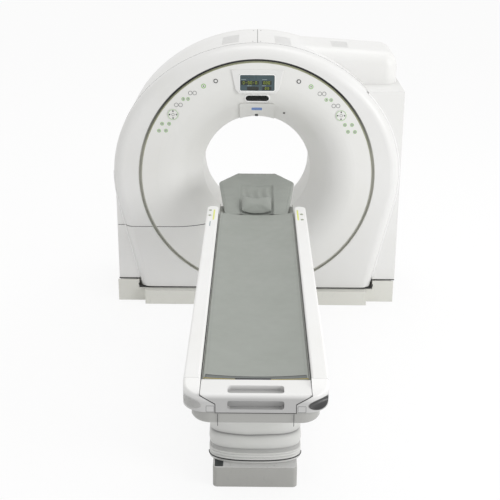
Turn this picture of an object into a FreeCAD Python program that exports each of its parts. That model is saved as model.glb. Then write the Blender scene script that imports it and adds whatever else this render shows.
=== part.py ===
import FreeCAD, Part
import math
import os

import Sketcher
from FreeCAD import Placement, Rotation, Vector

# A whole-body X-ray computed tomography scanner: a tilting gantry with its spinning
# rotor, and the patient table that lifts and slides its cradle through the bore.
# Millimetres. +X is to the right seen from the table's foot, +Y runs from the table
# into the gantry, +Z is up. The origin is on the floor, straight under the isocentre.

os.makedirs("parts", exist_ok=True)
doc = FreeCAD.newDocument("ct_scanner")

# ------------------------------------------------------------------ driving sizes
DRIVING = {
    # gantry covers
    "iso_height": 927, "bore_radius": 375, "gantry_front": 400, "gantry_rear": 440,
    "cover_wall": 6, "cover_gap": 0.8, "cover_seam": 250, "rim_rounding": 72,
    "cover_top_radius": 1050, "cover_side_centre": 157,
    "cover_sill": 3, "cover_taper": 13,
    "groove_outer": 806, "groove_inner": 783, "groove_depth": 20, "groove_wall": 3,
    "funnel_angle": 35.4, "flare_rounding": 250, "lip_depth": 150, "lip_rounding": 30,
    "rear_lip": 200, "rear_hole": 640,
    "housing_inset": 4, "housing_half": 986, "housing_left": 970, "housing_front": 360, "housing_back": 350,
    "housing_return": 30, "shoulder_front": 110, "shoulder_half": 965,
    "shoulder_rounding": 95, "shoulder_slope": 3.7, "swing_radius": 845, "swing_gap": 8, "trough_radius": 912,
    "door_gap": 2.4, "seam_end": 300, "belly_half": 780,
    # plinth, base and tilt bearings
    "plinth_front": 450, "plinth_side_front": 380, "plinth_middle_height": 103,
    "plinth_side_height": 158, "plinth_half": 978, "plinth_middle_half": 830,
    "plinth_nose_half": 782, "plinth_wall": 4, "beam_height": 55, "foot_height": 10,
    "column_inner": 868, "column_outer": 942, "column_depth": 34, "column_head": 60,
    "anchor_along": 330, "anchor_hole": 9, "trunnion_radius": 30, "bearing_gap": 0.5,
    "seat_gap": 0.3,
    # rotor and its drive
    "rotor_radius": 755, "rotor_face": 60, "rotor_disc": 30, "hub_end": 150,
    "frame_outer": 800, "frame_face": 100, "frame_depth": 40, "tube_radius": 85,
    "tube_orbit": 640, "fan_radius": 1100, "detector_depth": 60,
    "pulley_radius": 60, "pulley_across": 602, "belt_thickness": 5,
    # table top
    "cradle_half": 235, "cradle_head": 765, "cradle_foot": 3238,
    "pad_sag": 18, "pad_depth": 24, "pad_foot": 3235, "pad_head": 1000, "rail_head": 900,
    "rail_foot": 3250, "rail_wall": 4, "table_foot": 3372, "grip_low_half": 170, "grip_gap": 3,
    "foot_corner": 100, "foot_slope": 22, "shell_head": 960, "shell_wall": 4, "deck_depth": 12,
    "recess_half": 120, "slide_gap": 0.5, "board_half": 250,
    "board_near_half": 200, "board_far_half": 125, "board_near": 955, "board_wide": 570,
    "board_far": 450, "board_rise": 0.225, "channel_half": 105,
    "channel_sag": 18, "channel_fade": 2.2,
    # table base and lift
    "base_half": 212, "base_foot": 2740, "base_head": 1400, "base_height": 110,
    "bellows_half": 233, "bellows_foot": 2700, "bellows_head": 1440,
    "bellows_corner": 80, "bellows_bow": 22, "bellows_fold": 18, "lift_foot": 2450,
    "lift_head": 1690, "lift_half": 150, "lift_step": 16, "lift_wall": 6,
    "lift_overlap": 91.5, "base_plate": 15, "duct_half": 125,
    "duct_height": 60,
    # display and keys
    "bezel_depth": 10, "screen_half": 117, "window_half": 77, "pod_half": 118,
    "pad_key": 39, "pad_key_across": 562, "start_key": 16, "start_key_across": 275,
    "table_key": 9, "key_gap": 0.5, "key_rise": 4,
}
# Heights over the isocentre. Those under it are negative.
LEVELS = {
    "cover_top": 889, "shoulder_corner": 804, "ledge_height": 588, "flank_top_left": 33, "seam_height": -362,
    "bezel_top": 737, "bezel_waist": 604, "bezel_low": 577, "screen_top": 706,
    "screen_low": 596, "start_key_height": 661, "pad_key_height": 433,
    "rail_top": -42, "rail_bottom": -175, "pad_top": -53, "foot_top": -44, "grip_top": -59, "board_low": -67,
    "grip_waist": -107, "cradle_bottom": -121, "foot_step": -143, "grip_low": -145,
    "deck_top": -175, "foot_low": -203, "shell_bottom": -243,
}
# Sizes that follow another one, with what is added to it.
FOLLOWING = {
    "hub_inner": ("bore_radius", 25), "hub_outer": ("hub_inner", 50),
    "frame_inner": ("hub_outer", 40), "rear_flare_radius": ("bore_radius", 125),
    "window_low": ("bore_radius", 142), "window_high": ("bore_radius", 185),
    "pod_low": ("bore_radius", -25), "pod_high": ("bore_radius", 122),
    "cover_bottom": ("plinth_middle_height", 12), "housing_bottom": ("plinth_side_height", 7),
    "pad_half": ("cradle_half", -4), "grip_half": ("cradle_half", 0),
    "guide_centre": ("cradle_half", -30), "rail_inner": ("cradle_half", 4),
    "rail_outer": ("rail_inner", 73), "shell_half": ("rail_outer", -32),
    "bellows_low": ("base_height", 0.3), "bellows_high": ("shell_bottom", -0.3),
}

sheet = doc.addObject("Spreadsheet::Sheet", "Sizes")
CELLS = {**DRIVING, **LEVELS, **{alias: added for alias, (_, added) in FOLLOWING.items()}}
for row, (alias, value) in enumerate(CELLS.items(), start=1):
    sheet.set("A%d" % row, alias)
    sheet.set("B%d" % row, str(value))
    sheet.setAlias("B%d" % row, alias)
doc.recompute()


class Size:
    """A length that remembers the spreadsheet formula it comes from."""

    def __init__(self, number, formula):
        self.number = float(number)
        self.formula = formula

    def __float__(self):
        return self.number

    def __add__(self, other):
        return Size(self.number + float(other), "(%s + %s)" % (self.formula, text(other)))

    def __radd__(self, other):
        return self + other

    def __sub__(self, other):
        return Size(self.number - float(other), "(%s - %s)" % (self.formula, text(other)))

    def __rsub__(self, other):
        return Size(float(other) - self.number, "(%s - %s)" % (text(other), self.formula))

    def __mul__(self, factor):
        return Size(self.number * float(factor), "(%s * %s)" % (self.formula, text(factor)))

    def __rmul__(self, factor):
        return self * factor

    def __truediv__(self, divisor):
        return Size(self.number / float(divisor), "(%s / %s)" % (self.formula, text(divisor)))

    def __neg__(self):
        return Size(-self.number, "(-1 * %s)" % self.formula)


def text(value):
    """What a number or a Size says inside a formula."""
    return value.formula if isinstance(value, Size) else repr(float(value))


class Driving:
    """Every size by its name, tied to its cell and to the size that it follows."""

    def __getattr__(self, name):
        own = Size(CELLS[name], "Sizes." + name)
        if name in LEVELS:
            return self.iso_height + own
        if name in FOLLOWING:
            return getattr(self, FOLLOWING[name][0]) + own
        return own


D = Driving()


def root(value):
    return Size(math.sqrt(float(value)), "sqrt(%s)" % text(value))


def cosine(degrees):
    return Size(math.cos(math.radians(float(degrees))), "cos(%s * 1 deg)" % text(degrees))


def sine(degrees):
    return Size(math.sin(math.radians(float(degrees))), "sin(%s * 1 deg)" % text(degrees))


def bind(thing, place, value):
    """Ties a property to its formula where the value came from the sheet."""
    if isinstance(value, Size):
        thing.setExpression(place, value.formula)


# ------------------------------------------------------------------ sketch helpers
def new_body(name):
    body = doc.addObject("PartDesign::Body", name)
    body.Label = name
    return body


def new_sketch(body, role, offset=0.0):
    """A sketch on one of the body's own origin planes, moved along its normal."""
    support = [plane for plane in body.Origin.OriginFeatures if plane.Role == role][0]
    sketch = body.newObject("Sketcher::SketchObject", body.Name + "_sketch")
    sketch.AttachmentSupport = [(support, "")]
    sketch.MapMode = "FlatFace"
    sketch.AttachmentOffset = Placement(Vector(0, 0, float(offset)), Rotation())
    bind(sketch, "AttachmentOffset.Base.z", offset)
    return sketch


def pin(sketch, edge, point, across, up):
    """Holds one end of an edge at its distances from the sketch's origin."""
    for kind, axis, value in (("DistanceX", -2, across), ("DistanceY", -1, up)):
        if float(value) == 0:
            sketch.addConstraint(Sketcher.Constraint("PointOnObject", edge, point, axis))
            continue
        held = sketch.addConstraint(Sketcher.Constraint(kind, -1, 1, edge, point, float(value)))
        bind(sketch, "Constraints[%d]" % held, value)


def outline(sketch, corners):
    """A closed run of lines and arcs. A corner is (across, up), and a third value is the
    radius of the arc to the next corner: positive turns left, negative turns right."""
    count = len(corners)
    ends = []
    for index, corner in enumerate(corners):
        start = Vector(float(corner[0]), float(corner[1]), 0)
        following = corners[(index + 1) % count]
        end = Vector(float(following[0]), float(following[1]), 0)
        if len(corner) == 2:
            edge = sketch.addGeometry(Part.LineSegment(start, end))
            ends.append((edge, 1, 2))
            continue
        radius = float(corner[2])
        chord = end - start
        rise = math.sqrt(max(radius ** 2 - (chord.Length / 2) ** 2, 0.0))
        side = Vector(-chord.y, chord.x, 0).normalize() * math.copysign(rise, radius)
        centre = (start + end) * 0.5 + side
        first, last = (start, end) if radius > 0 else (end, start)
        angles = [math.atan2(point.y - centre.y, point.x - centre.x) for point in (first, last)]
        ring = Part.Circle(centre, Vector(0, 0, 1), abs(radius))
        edge = sketch.addGeometry(Part.ArcOfCircle(ring, angles[0], angles[1]))
        ends.append((edge, 1, 2) if radius > 0 else (edge, 2, 1))
    for index in range(count):
        edge, near, far = ends[index]
        following, begin, _ = ends[(index + 1) % count]
        sketch.addConstraint(Sketcher.Constraint("Coincident", edge, far, following, begin))
    for (edge, near, far), corner in zip(ends, corners):
        pin(sketch, edge, near, corner[0], corner[1])
        if len(corner) == 3:
            reach = corner[2] if float(corner[2]) > 0 else corner[2] * -1
            held = sketch.addConstraint(Sketcher.Constraint("Radius", edge, float(reach)))
            bind(sketch, "Constraints[%d]" % held, reach)


def rectangle(sketch, left, right, low, high):
    outline(sketch, [(left, low), (right, low), (right, high), (left, high)])


def circle(sketch, across, up, radius):
    number = sketch.addGeometry(Part.Circle(Vector(float(across), float(up), 0), Vector(0, 0, 1), float(radius)))
    held = sketch.addConstraint(Sketcher.Constraint("Radius", number, float(radius)))
    bind(sketch, "Constraints[%d]" % held, radius)
    pin(sketch, number, 3, across, up)


def add_pad(body, sketch, length, towards_normal=True):
    pad = body.newObject("PartDesign::Pad", body.Name + "_pad")
    pad.Profile = sketch
    pad.Length = float(length)
    bind(pad, "Length", length)
    pad.Reversed = not towards_normal
    doc.recompute()
    return pad


def add_pocket(body, sketch, length, towards_normal=False):
    """Cuts, and makes sure that the cut took something away."""
    before = body.Shape.Volume
    pocket = body.newObject("PartDesign::Pocket", body.Name + "_pocket")
    pocket.Profile = sketch
    pocket.Length = float(length)
    bind(pocket, "Length", length)
    pocket.Reversed = towards_normal
    doc.recompute()
    if body.Shape.Volume > before - 1:
        raise RuntimeError("%s cut nothing" % pocket.Name)
    return pocket


def add_fillet(body, base, radius, wanted):
    """Rounds the edges of the last feature that the test picks."""
    names = ["Edge%d" % (n + 1) for n, edge in enumerate(base.Shape.Edges) if wanted(edge)]
    if not names:
        raise RuntimeError("%s has no edge to round" % body.Name)
    fillet = body.newObject("PartDesign::Fillet", body.Name + "_fillet")
    fillet.Base = (base, names)
    fillet.Radius = float(radius)
    bind(fillet, "Radius", radius)
    doc.recompute()
    return fillet


def turned(name, profile):
    """A ring turned about the scanner's axis. The profile is (along Y, radius) corners."""
    body = new_body(name)
    sketch = new_sketch(body, "YZ_Plane")
    axis_line(sketch)
    outline(sketch, [(corner[0], D.iso_height + corner[1]) + tuple(corner[2:]) for corner in profile])
    return add_turn(body, sketch)


def axis_line(sketch):
    """The scanner's axis as the sketch's first construction line."""
    height = float(D.iso_height)
    line = sketch.addGeometry(Part.LineSegment(Vector(-100, height, 0), Vector(100, height, 0)), True)
    sketch.addConstraint(Sketcher.Constraint("Horizontal", line))
    pin(sketch, line, 1, -100, D.iso_height)
    sketch.addConstraint(Sketcher.Constraint("DistanceX", line, 1, line, 2, 200))


def add_turn(body, sketch):
    turn = body.newObject("PartDesign::Revolution", body.Name + "_turn")
    turn.Profile = sketch
    turn.ReferenceAxis = (sketch, ["Axis0"])
    turn.Angle = 360
    doc.recompute()
    return body


def slab(name, corners, near, far):
    """A body whose outline lies across the scanner and runs from Y = near to Y = far."""
    body = new_body(name)
    sketch = new_sketch(body, "XZ_Plane", far * -1)
    outline(sketch, corners)
    add_pad(body, sketch, far - near)
    return body


def plate(name, corners, low, high):
    """A body whose outline lies level and runs from Z = low to Z = high."""
    body = new_body(name)
    sketch = new_sketch(body, "XY_Plane", low)
    outline(sketch, corners)
    add_pad(body, sketch, high - low)
    return body


def profile(name, corners, left, right):
    """A body whose outline is seen from the side and runs from X = left to X = right."""
    body = new_body(name)
    sketch = new_sketch(body, "YZ_Plane", left)
    outline(sketch, corners)
    add_pad(body, sketch, right - left)
    return body


def mirrored(name, thing):
    """The same piece on the other side of the scanner's middle plane."""
    result = doc.addObject("Part::Mirroring", name)
    result.Source = thing
    result.Normal = Vector(1, 0, 0)
    result.Base = Vector(0, 0, 0)
    return result


# ------------------------------------------------------------------ solid helpers
def block(name, across, along, up):
    """An upright box between pairs of X, Y and Z."""
    box = doc.addObject("Part::Box", name)
    corner = []
    for prop, letter, (low, high) in (("Length", "x", across), ("Width", "y", along), ("Height", "z", up)):
        span = high - low
        setattr(box, prop, float(span))
        bind(box, prop, span)
        corner.append(float(low))
    box.Placement = Placement(Vector(*corner), Rotation())
    for letter, (low, high) in (("x", across), ("y", along), ("z", up)):
        bind(box, "Placement.Base." + letter, low)
    return box


TURN = {
    "X": Rotation(Vector(0, 1, 0), 90),
    "Y": Rotation(Vector(1, 0, 0), -90),
    "Z": Rotation(),
}


def rod(name, axis, start, radius, length):
    """A cylinder that starts at a point and runs along +X, +Y or +Z."""
    cylinder = doc.addObject("Part::Cylinder", name)
    cylinder.Radius = float(radius)
    cylinder.Height = float(length)
    bind(cylinder, "Radius", radius)
    bind(cylinder, "Height", length)
    cylinder.Placement = Placement(Vector(*[float(value) for value in start]), TURN[axis])
    for letter, value in zip("xyz", start):
        bind(cylinder, "Placement.Base." + letter, value)
    return cylinder


def cut(name, base, *tools):
    tool = tools[0] if len(tools) == 1 else fuse(name + "_tools", *tools)
    result = doc.addObject("Part::Cut", name)
    result.Base = base
    result.Tool = tool
    return result


def fuse(name, *shapes):
    result = doc.addObject("Part::MultiFuse", name)
    result.Shapes = list(shapes)
    return result


def common(name, *shapes):
    result = doc.addObject("Part::MultiCommon", name)
    result.Shapes = list(shapes)
    return result


def group(name, *shapes):
    """Separate solids that share one node."""
    result = doc.addObject("Part::Compound", name)
    result.Links = list(shapes)
    return result


def feature(name, shape):
    result = doc.addObject("Part::Feature", name)
    result.Shape = shape
    return result


nodes = []


def node(name, thing):
    """Keeps an object as a sub-part under its own name."""
    thing.Label = name
    nodes.append((name, thing))
    return thing


# ------------------------------------------------------------------ gantry outlines
def cover_corners(inset, bottom):
    """The gantry's front outline: a wide crown arc that runs smoothly into two side arcs,
    then straight sides that draw in to the bottom."""
    crown_centre = D.cover_top - D.cover_top_radius
    rise = D.iso_height - crown_centre
    reach = root(D.cover_side_centre * D.cover_side_centre + rise * rise)
    crown = D.cover_top_radius - inset
    side = crown - reach
    shoulder = (crown * D.cover_side_centre / reach, crown_centre + crown * rise / reach)
    waist = (D.cover_side_centre + side * cosine(D.cover_taper), D.iso_height - side * sine(D.cover_taper))
    draw = (waist[1] - bottom) * sine(D.cover_taper) / cosine(D.cover_taper)
    foot = waist[0] - draw
    return [
        (foot, bottom),
        (waist[0], waist[1], side),
        (shoulder[0], shoulder[1], crown),
        (shoulder[0] * -1, shoulder[1], side),
        (waist[0] * -1, waist[1]),
        (foot * -1, bottom),
    ]


def box_corners(left, right, low, high):
    return [(left, low), (right, low), (right, high), (left, high)]


def runs_along_y(edge):
    ends = [vertex.Point for vertex in edge.Vertexes]
    return len(ends) == 2 and abs(ends[0].x - ends[1].x) < 1e-3 and abs(ends[0].z - ends[1].z) < 1e-3


def lies_at(edge, depth):
    return all(abs(vertex.Point.y - float(depth)) < 1e-3 for vertex in edge.Vertexes)


def rimmed(name, corners, near, far, rounding, rounded_end, floor):
    """A slab whose edge at one end is rounded, but for the flat bottom."""
    body = slab(name, corners, near, far)
    pad = body.Tip
    add_fillet(
        body, pad, rounding,
        lambda edge: lies_at(edge, rounded_end) and edge.CenterOfMass.z > float(floor) + 1,
    )
    return body


far_out = Size(1400, "1400")
gap = D.cover_gap
wall = D.cover_wall
iso = D.iso_height
front = D.gantry_front * -1
rear = D.gantry_rear * 1
seam = D.cover_seam * -1

# ------------------------------------------------------------------ front covers
front_solid = rimmed(
    "front_form", cover_corners(0, D.cover_bottom), front, seam, D.rim_rounding, front, D.cover_bottom,
)
front_hollow = rimmed(
    "front_hollow", cover_corners(wall, D.cover_bottom + D.cover_sill), front + wall, seam + 1,
    D.rim_rounding - wall, front + wall, D.cover_bottom + D.cover_sill,
)
ring_hole = rod("ring_hole", "Y", (0, front - 1, iso), D.groove_outer + gap, wall + 2)
service_box = block(
    "service_box", (far_out * -1, D.seam_end * -1), (front - 50, far_out),
    (0, D.seam_height - D.door_gap),
)
service_space = block(
    "service_space", (far_out * -1, gap - D.seam_end), (front - 50, far_out), (0, D.seam_height * 1),
)
front_shell = cut("front_shell", front_solid, front_hollow, ring_hole)
node("front_cover", cut("front_cover", front_shell, service_space))
node("service_cover", common("service_cover", front_shell, service_box))

# The dark groove round the face: a channel that joins the cover to the dished face.
groove_back = front + D.groove_depth
node("groove_ring", turned("groove_ring", [
    (front, D.groove_outer),
    (groove_back + D.groove_wall, D.groove_outer),
    (groove_back + D.groove_wall, D.groove_inner),
    (front, D.groove_inner),
    (front, D.groove_inner + D.groove_wall),
    (groove_back, D.groove_inner + D.groove_wall),
    (groove_back, D.groove_outer - D.groove_wall),
    (front, D.groove_outer - D.groove_wall),
]))

# The dished face: a flat ring, a wide rounded shoulder, a funnel and a rounded lip.
lip = D.lip_depth * -1
face_edge = D.groove_inner - gap
funnel_sine = sine(D.funnel_angle)
funnel_cosine = cosine(D.funnel_angle)
lip_start = (
    lip - D.lip_rounding * funnel_sine,
    D.bore_radius + D.lip_rounding * (1 - funnel_cosine),
)
flare_corner = lip_start[1] + (lip_start[0] - front) * funnel_sine / funnel_cosine
flare_reach = D.flare_rounding * funnel_cosine / (funnel_sine + 1)
flat_radius = flare_corner + flare_reach
flare_end = (front + flare_reach * funnel_cosine, flare_corner - flare_reach * funnel_sine)


def behind(point, depth):
    """A point of the funnel moved back from the face's surface along its normal."""
    return (point[0] + funnel_sine * depth, point[1] + funnel_cosine * depth)


def face_layer(name, shallow, deep):
    """The layer between two depths behind the face's surface, from the flat ring to the lip.
    A negative depth lies in front of the surface."""
    return turned(name, [
        (front + shallow, face_edge),
        (front + shallow, flat_radius, D.flare_rounding - shallow),
        behind(flare_end, shallow),
        behind(lip_start, shallow),
        behind(lip_start, deep),
        (*behind(flare_end, deep), deep - D.flare_rounding),
        (front + deep, flat_radius),
        (front + deep, face_edge),
    ])


face_blank = turned("face_blank", [
    (front, face_edge),
    (front, flat_radius, D.flare_rounding),
    flare_end,
    (*lip_start, D.lip_rounding),
    (lip, D.bore_radius),
    (lip, D.bore_radius + wall, wall - D.lip_rounding),
    behind(lip_start, wall),
    (*behind(flare_end, wall), wall - D.flare_rounding),
    (front + wall, flat_radius),
    (front + wall, face_edge),
])

start_keys = (D.start_key_across, D.start_key_height)
pad_keys = (D.pad_key_across, D.pad_key_height)
key_holes = []
for side in (-1, 1):
    for (across, up), radius in ((start_keys, D.start_key), (pad_keys, D.pad_key)):
        name = "key_hole_%d" % (len(key_holes) + 1)
        key_holes.append(rod(name, "Y", (across * side, front - 5, up), radius + D.key_gap, wall + 10))
# The service door's joint carries on across the face as a fine groove.
face_groove = common(
    "face_groove", face_layer("groove_layer", D.slide_gap * -1, wall / 2),
    block("groove_box", (far_out * -1, D.seam_end * -1), (front - 5, 0),
          (D.seam_height - D.door_gap, D.seam_height)),
)
node("face_cover", cut("face_cover", face_blank, face_groove, *key_holes))

for side, word in ((-1, "left"), (1, "right")):
    for kind, (across, up), radius in (("start_key", start_keys, D.start_key), ("pad_key", pad_keys, D.pad_key)):
        name = "%s_%s" % (kind, word)
        body = new_body(name)
        sketch = new_sketch(body, "XZ_Plane", (front + wall) * -1)
        circle(sketch, across * side, up, radius)
        add_pad(body, sketch, wall + D.key_rise)
        add_fillet(body, body.Tip, D.key_rise * 0.4, lambda edge: lies_at(edge, front - D.key_rise))
        node(name, body)

# The bore's thin window tube, between the front lip and the rear funnel.
node("bore_liner", turned("bore_liner", [
    (lip + gap, D.bore_radius * 1),
    (D.rear_lip - gap, D.bore_radius * 1),
    (D.rear_lip - gap, D.bore_radius + wall),
    (lip + gap, D.bore_radius + wall),
]))

# ------------------------------------------------------------------ display group
# Everything behind the face's surface, which the pieces that stand on it are cut to.
seat = D.seat_gap * -1
behind_face = turned("behind_face", [
    (front + seat, far_out),
    (front + seat, flat_radius, D.flare_rounding - seat),
    behind(flare_end, seat),
    behind(lip_start, seat),
    (lip + 300, behind(lip_start, seat)[1]),
    (lip + 300, far_out),
])
bezel_front = front - D.bezel_depth
bezel = slab("bezel_form", [
    (-120, D.bezel_low), (120, D.bezel_low), (146, D.bezel_waist), (174, D.bezel_top),
    (-174, D.bezel_top), (-146, D.bezel_waist),
], bezel_front, front + 40)
add_fillet(bezel, bezel.Tip, D.bezel_depth * 0.6, lambda edge: lies_at(edge, bezel_front))
screen_hole = block(
    "screen_hole", (D.screen_half * -1 - gap, D.screen_half + gap), (bezel_front - 1, front - 3),
    (D.screen_low - gap, D.screen_top + gap),
)
node("display_bezel", cut("display_bezel", bezel, behind_face, screen_hole))
node("display_screen", block(
    "display_screen", (D.screen_half * -1, D.screen_half), (front - 7, front - 3),
    (D.screen_low, D.screen_top),
))


def pill_corners(half, low, high):
    """A long outline whose two ends are half circles."""
    end = (high - low) / 2
    return [
        (end - half, low), (half - end, low, end), (half, low + end, end), (half - end, high),
        (end - half, high, end), (half * -1, low + end, end),
    ]


window_form = slab(
    "window_form", pill_corners(D.window_half, iso + D.window_low, iso + D.window_high), front - 20, lip,
)
window_layer = face_layer("window_layer", -4, seat)
node("sensor_window", common("sensor_window", window_form, window_layer))
pod_corner = D.lip_rounding / 2
pod_form = slab("pod_form", [
    (D.pod_half * -1, iso + D.pod_low), (D.pod_half, iso + D.pod_low),
    (D.pod_half, iso + D.pod_high - pod_corner, pod_corner),
    (D.pod_half - pod_corner, iso + D.pod_high),
    (pod_corner - D.pod_half, iso + D.pod_high, pod_corner),
    (D.pod_half * -1, iso + D.pod_high - pod_corner),
], front - 20, lip)
node("bore_pod", common("bore_pod", pod_form, face_layer("pod_layer", -9, seat)))

# ------------------------------------------------------------------ side and top covers
back = D.housing_back * 1
margin = D.housing_inset * 1


def shoulder_corners(inset):
    """The square right shoulder, which slopes outward and ends in a rounded corner."""
    half = D.shoulder_half - inset
    corner = D.shoulder_corner - inset
    rounding = D.shoulder_rounding - inset
    slope_sine = sine(D.shoulder_slope)
    slope_cosine = cosine(D.shoulder_slope)
    end = (half - rounding * (1 - slope_sine), corner - rounding * (1 - slope_cosine))
    return [
        (150, iso + 273), (half, iso + 273), (half, corner - rounding, rounding), end,
        (150, end[1] + (end[0] - 150) * slope_sine / slope_cosine),
    ]


front_clearance = slab("front_clearance", cover_corners(gap * -1, 0), front - 20, seam + 0)
bottom = D.housing_bottom * 1
covers = {}
for word, sign in (("left", -1), ("right", 1)):
    ledge = D.flank_top_left if sign < 0 else D.ledge_height
    outer = []
    inner = []
    for inset, shapes, near, far in ((0, outer, seam + 0, back), (wall, inner, seam + wall, back - wall)):
        tag = "%s_%s" % (word, "skin" if shapes is outer else "hollow")
        low = bottom if shapes is outer else bottom - 10
        shapes.append(slab(tag + "_hood", cover_corners(margin + inset, low), near, far))
        edge_out = (D.housing_left - inset) * sign if sign < 0 else D.housing_half - inset
        edge_in = Size(640 * sign, str(640 * sign))
        left, right = (edge_out, edge_in) if sign < 0 else (edge_in, edge_out)
        strip_near = D.housing_front * -1 + inset
        shapes.append(slab(tag + "_flank", box_corners(left, right, low, ledge - inset), strip_near, far))
        if sign > 0:
            shoulder = slab(tag + "_shoulder", shoulder_corners(inset), D.shoulder_front * -1 + inset, far)
            shapes.append(shoulder)
            shoulder_near = D.shoulder_front * -1 + inset
            add_fillet(
                shoulder, shoulder.Tip, D.shoulder_rounding - 10 - inset,
                lambda edge: lies_at(edge, shoulder_near) and edge.CenterOfMass.x > 400
                and edge.CenterOfMass.z > float(iso) + 373,
            )
    lip_inset = D.housing_return
    inner.append(slab(word + "_mouth", cover_corners(lip_inset, bottom - 10), seam - 5, seam + 20))
    inner.append(slab(word + "_tail", cover_corners(lip_inset, bottom - 10), back - 20, back + 5))
    half = block(
        word + "_half",
        (far_out * -1, gap * -0.5) if sign < 0 else (gap * 0.5, far_out),
        (far_out * -1, far_out), (bottom + 0, far_out * 2),
    )
    skin = common(word + "_skin", fuse(word + "_skin_all", *outer), half)
    covers[word] = cut(word + "_shell", skin, *inner, front_clearance)

lower_left = block(
    "lower_left", (far_out * -1, 0), (far_out * -1, far_out), (0, D.seam_height - D.door_gap),
)
upper_left = block(
    "upper_left", (far_out * -1, 0), (far_out * -1, far_out), (D.seam_height * 1, far_out * 2),
)
node("side_cover_left", common("side_cover_left", covers["left"], lower_left))

# Air slots through the roof, in three groups.
slots = {"left": [], "middle": [], "shoulder": []}
slot_pitch = 24
for word, centre, half, depth, count in (
    ("left", -186, 58, 0, 13), ("middle", 172, 56, -40, 13), ("shoulder", 573, 58, 106, 10),
):
    for index in range(count):
        start = depth + (index - (count - 1) / 2) * slot_pitch - 4
        name = "slot_%s_%d" % (word, index)
        slots[word].append(block(
            name, (centre - half, centre + half), (start, start + 8), (iso + 773, iso + 973),
        ))
left_slots = fuse("left_slots", *slots["left"])
right_slots = fuse("right_slots", *slots["middle"], *slots["shoulder"])
node("top_cover_left", cut("top_cover_left", common("upper_shell", covers["left"], upper_left), left_slots))
node("top_cover_right", cut("top_cover_right", covers["right"], right_slots))

# ------------------------------------------------------------------ rear and belly
swing = rod("swing", "X", (far_out * -1, 0, iso), D.swing_radius, far_out * 2)
rear_solid = rimmed(
    "rear_form", cover_corners(margin, bottom), back + gap, rear, D.rim_rounding, rear, bottom,
)
rear_hollow = rimmed(
    "rear_hollow", cover_corners(margin + wall, bottom - 10), back + gap - 1, rear - wall,
    D.rim_rounding - wall, rear - wall, bottom - 10,
)
rear_hole = rod("rear_hole_tool", "Y", (0, rear - 20, iso), D.rear_hole + gap, 40)
rear_shell = cut("rear_shell", rear_solid, rear_hollow, rear_hole)
rear_waste = cut("rear_waste", block(
    "rear_low", (far_out * -1, far_out), (back - 20, rear + 20), (bottom - 50, iso - 400),
), swing)
node("rear_cover", cut("rear_cover", rear_shell, rear_waste))
node("rear_face", turned("rear_face", [
    (D.rear_lip, D.bore_radius * 1),
    (rear - 40, D.rear_flare_radius - 25, 90),
    (rear, D.rear_flare_radius + 45),
    (rear, D.rear_hole),
    (rear - wall, D.rear_hole),
    (rear - wall, D.rear_flare_radius + 45 + wall * 0.5),
    (rear - 40 - wall * 0.4, D.rear_flare_radius - 25 + wall),
    (D.rear_lip, D.bore_radius + wall),
]))
belly = iso - D.frame_outer - wall - D.slide_gap
belly_near = seam + 5
belly_far = back - wall - 5
belly_form = block("belly_form", (D.belly_half * -1, D.belly_half), (belly_near, belly_far), (belly, belly + 60))
belly_space = block(
    "belly_space", (wall - D.belly_half, D.belly_half - wall), (belly_near + wall, belly_far - wall),
    (belly + wall, belly + 80),
)
rotor_space = rod("rotor_space", "Y", (0, seam, iso), D.frame_outer + D.bearing_gap, 900)
node("belly_pan", cut("belly_pan", belly_form, belly_space, rotor_space))

# ------------------------------------------------------------------ tilting frame
frame_near = D.frame_face * 1
frame_far = D.frame_face + D.frame_depth
ring = turned("frame_ring", [
    (frame_near, D.frame_outer * 1),
    (frame_near, D.frame_inner * 1),
    (frame_far, D.frame_inner * 1),
    (frame_far, D.frame_outer * 1),
])
arm_inner = D.rotor_radius + 14
motor_across = D.pulley_across * 1
motor_height = iso - D.pulley_across
pieces = [ring]
for sign, word in ((-1, "left"), (1, "right")):
    inner_x, outer_x = arm_inner * sign, (D.frame_outer + 10) * sign
    low_x, high_x = (outer_x, inner_x) if sign < 0 else (inner_x, outer_x)
    pieces.append(block("arm_" + word, (low_x, high_x), (-60, frame_far), (iso - 110, iso + 110)))
    shaft_start = (D.column_outer + 6) * -1 if sign < 0 else arm_inner
    shaft_length = D.column_outer + 6 - arm_inner
    pieces.append(rod("shaft_" + word, "X", (shaft_start, 0, iso), D.trunnion_radius, shaft_length))
pieces.append(block(
    "motor_ear", (motor_across - 95, motor_across + 95), (frame_near, frame_far),
    (motor_height - 85, motor_height + 95),
))
shaft_hole = rod("shaft_hole", "Y", (motor_across, 0, motor_height), 18, 300)
bolt_holes = []
for index in range(12):
    angle = math.radians(15 + 30 * index)
    bolt_holes.append(rod(
        "frame_window_%d" % index, "Y",
        (math.cos(angle) * (D.frame_inner + D.frame_outer) / 2, frame_near - 5,
         iso + math.sin(angle) * (D.frame_inner + D.frame_outer) / 2),
        70, D.frame_depth + 10,
    ))
frame_plate = cut("frame_plate", fuse("frame_all", *pieces), shaft_hole, *bolt_holes)
node("bearing_outer_ring", turned("bearing_outer_ring", [
    (frame_near - 8, D.hub_outer + D.bearing_gap),
    (frame_far + 6, D.hub_outer + D.bearing_gap),
    (frame_far + 6, D.frame_inner - 15),
    (frame_far, D.frame_inner - 15),
    (frame_far, D.frame_inner * 1),
    (frame_near, D.frame_inner * 1),
    (frame_near, D.frame_inner - 10),
    (frame_near - 8, D.frame_inner - 10),
]))

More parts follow.
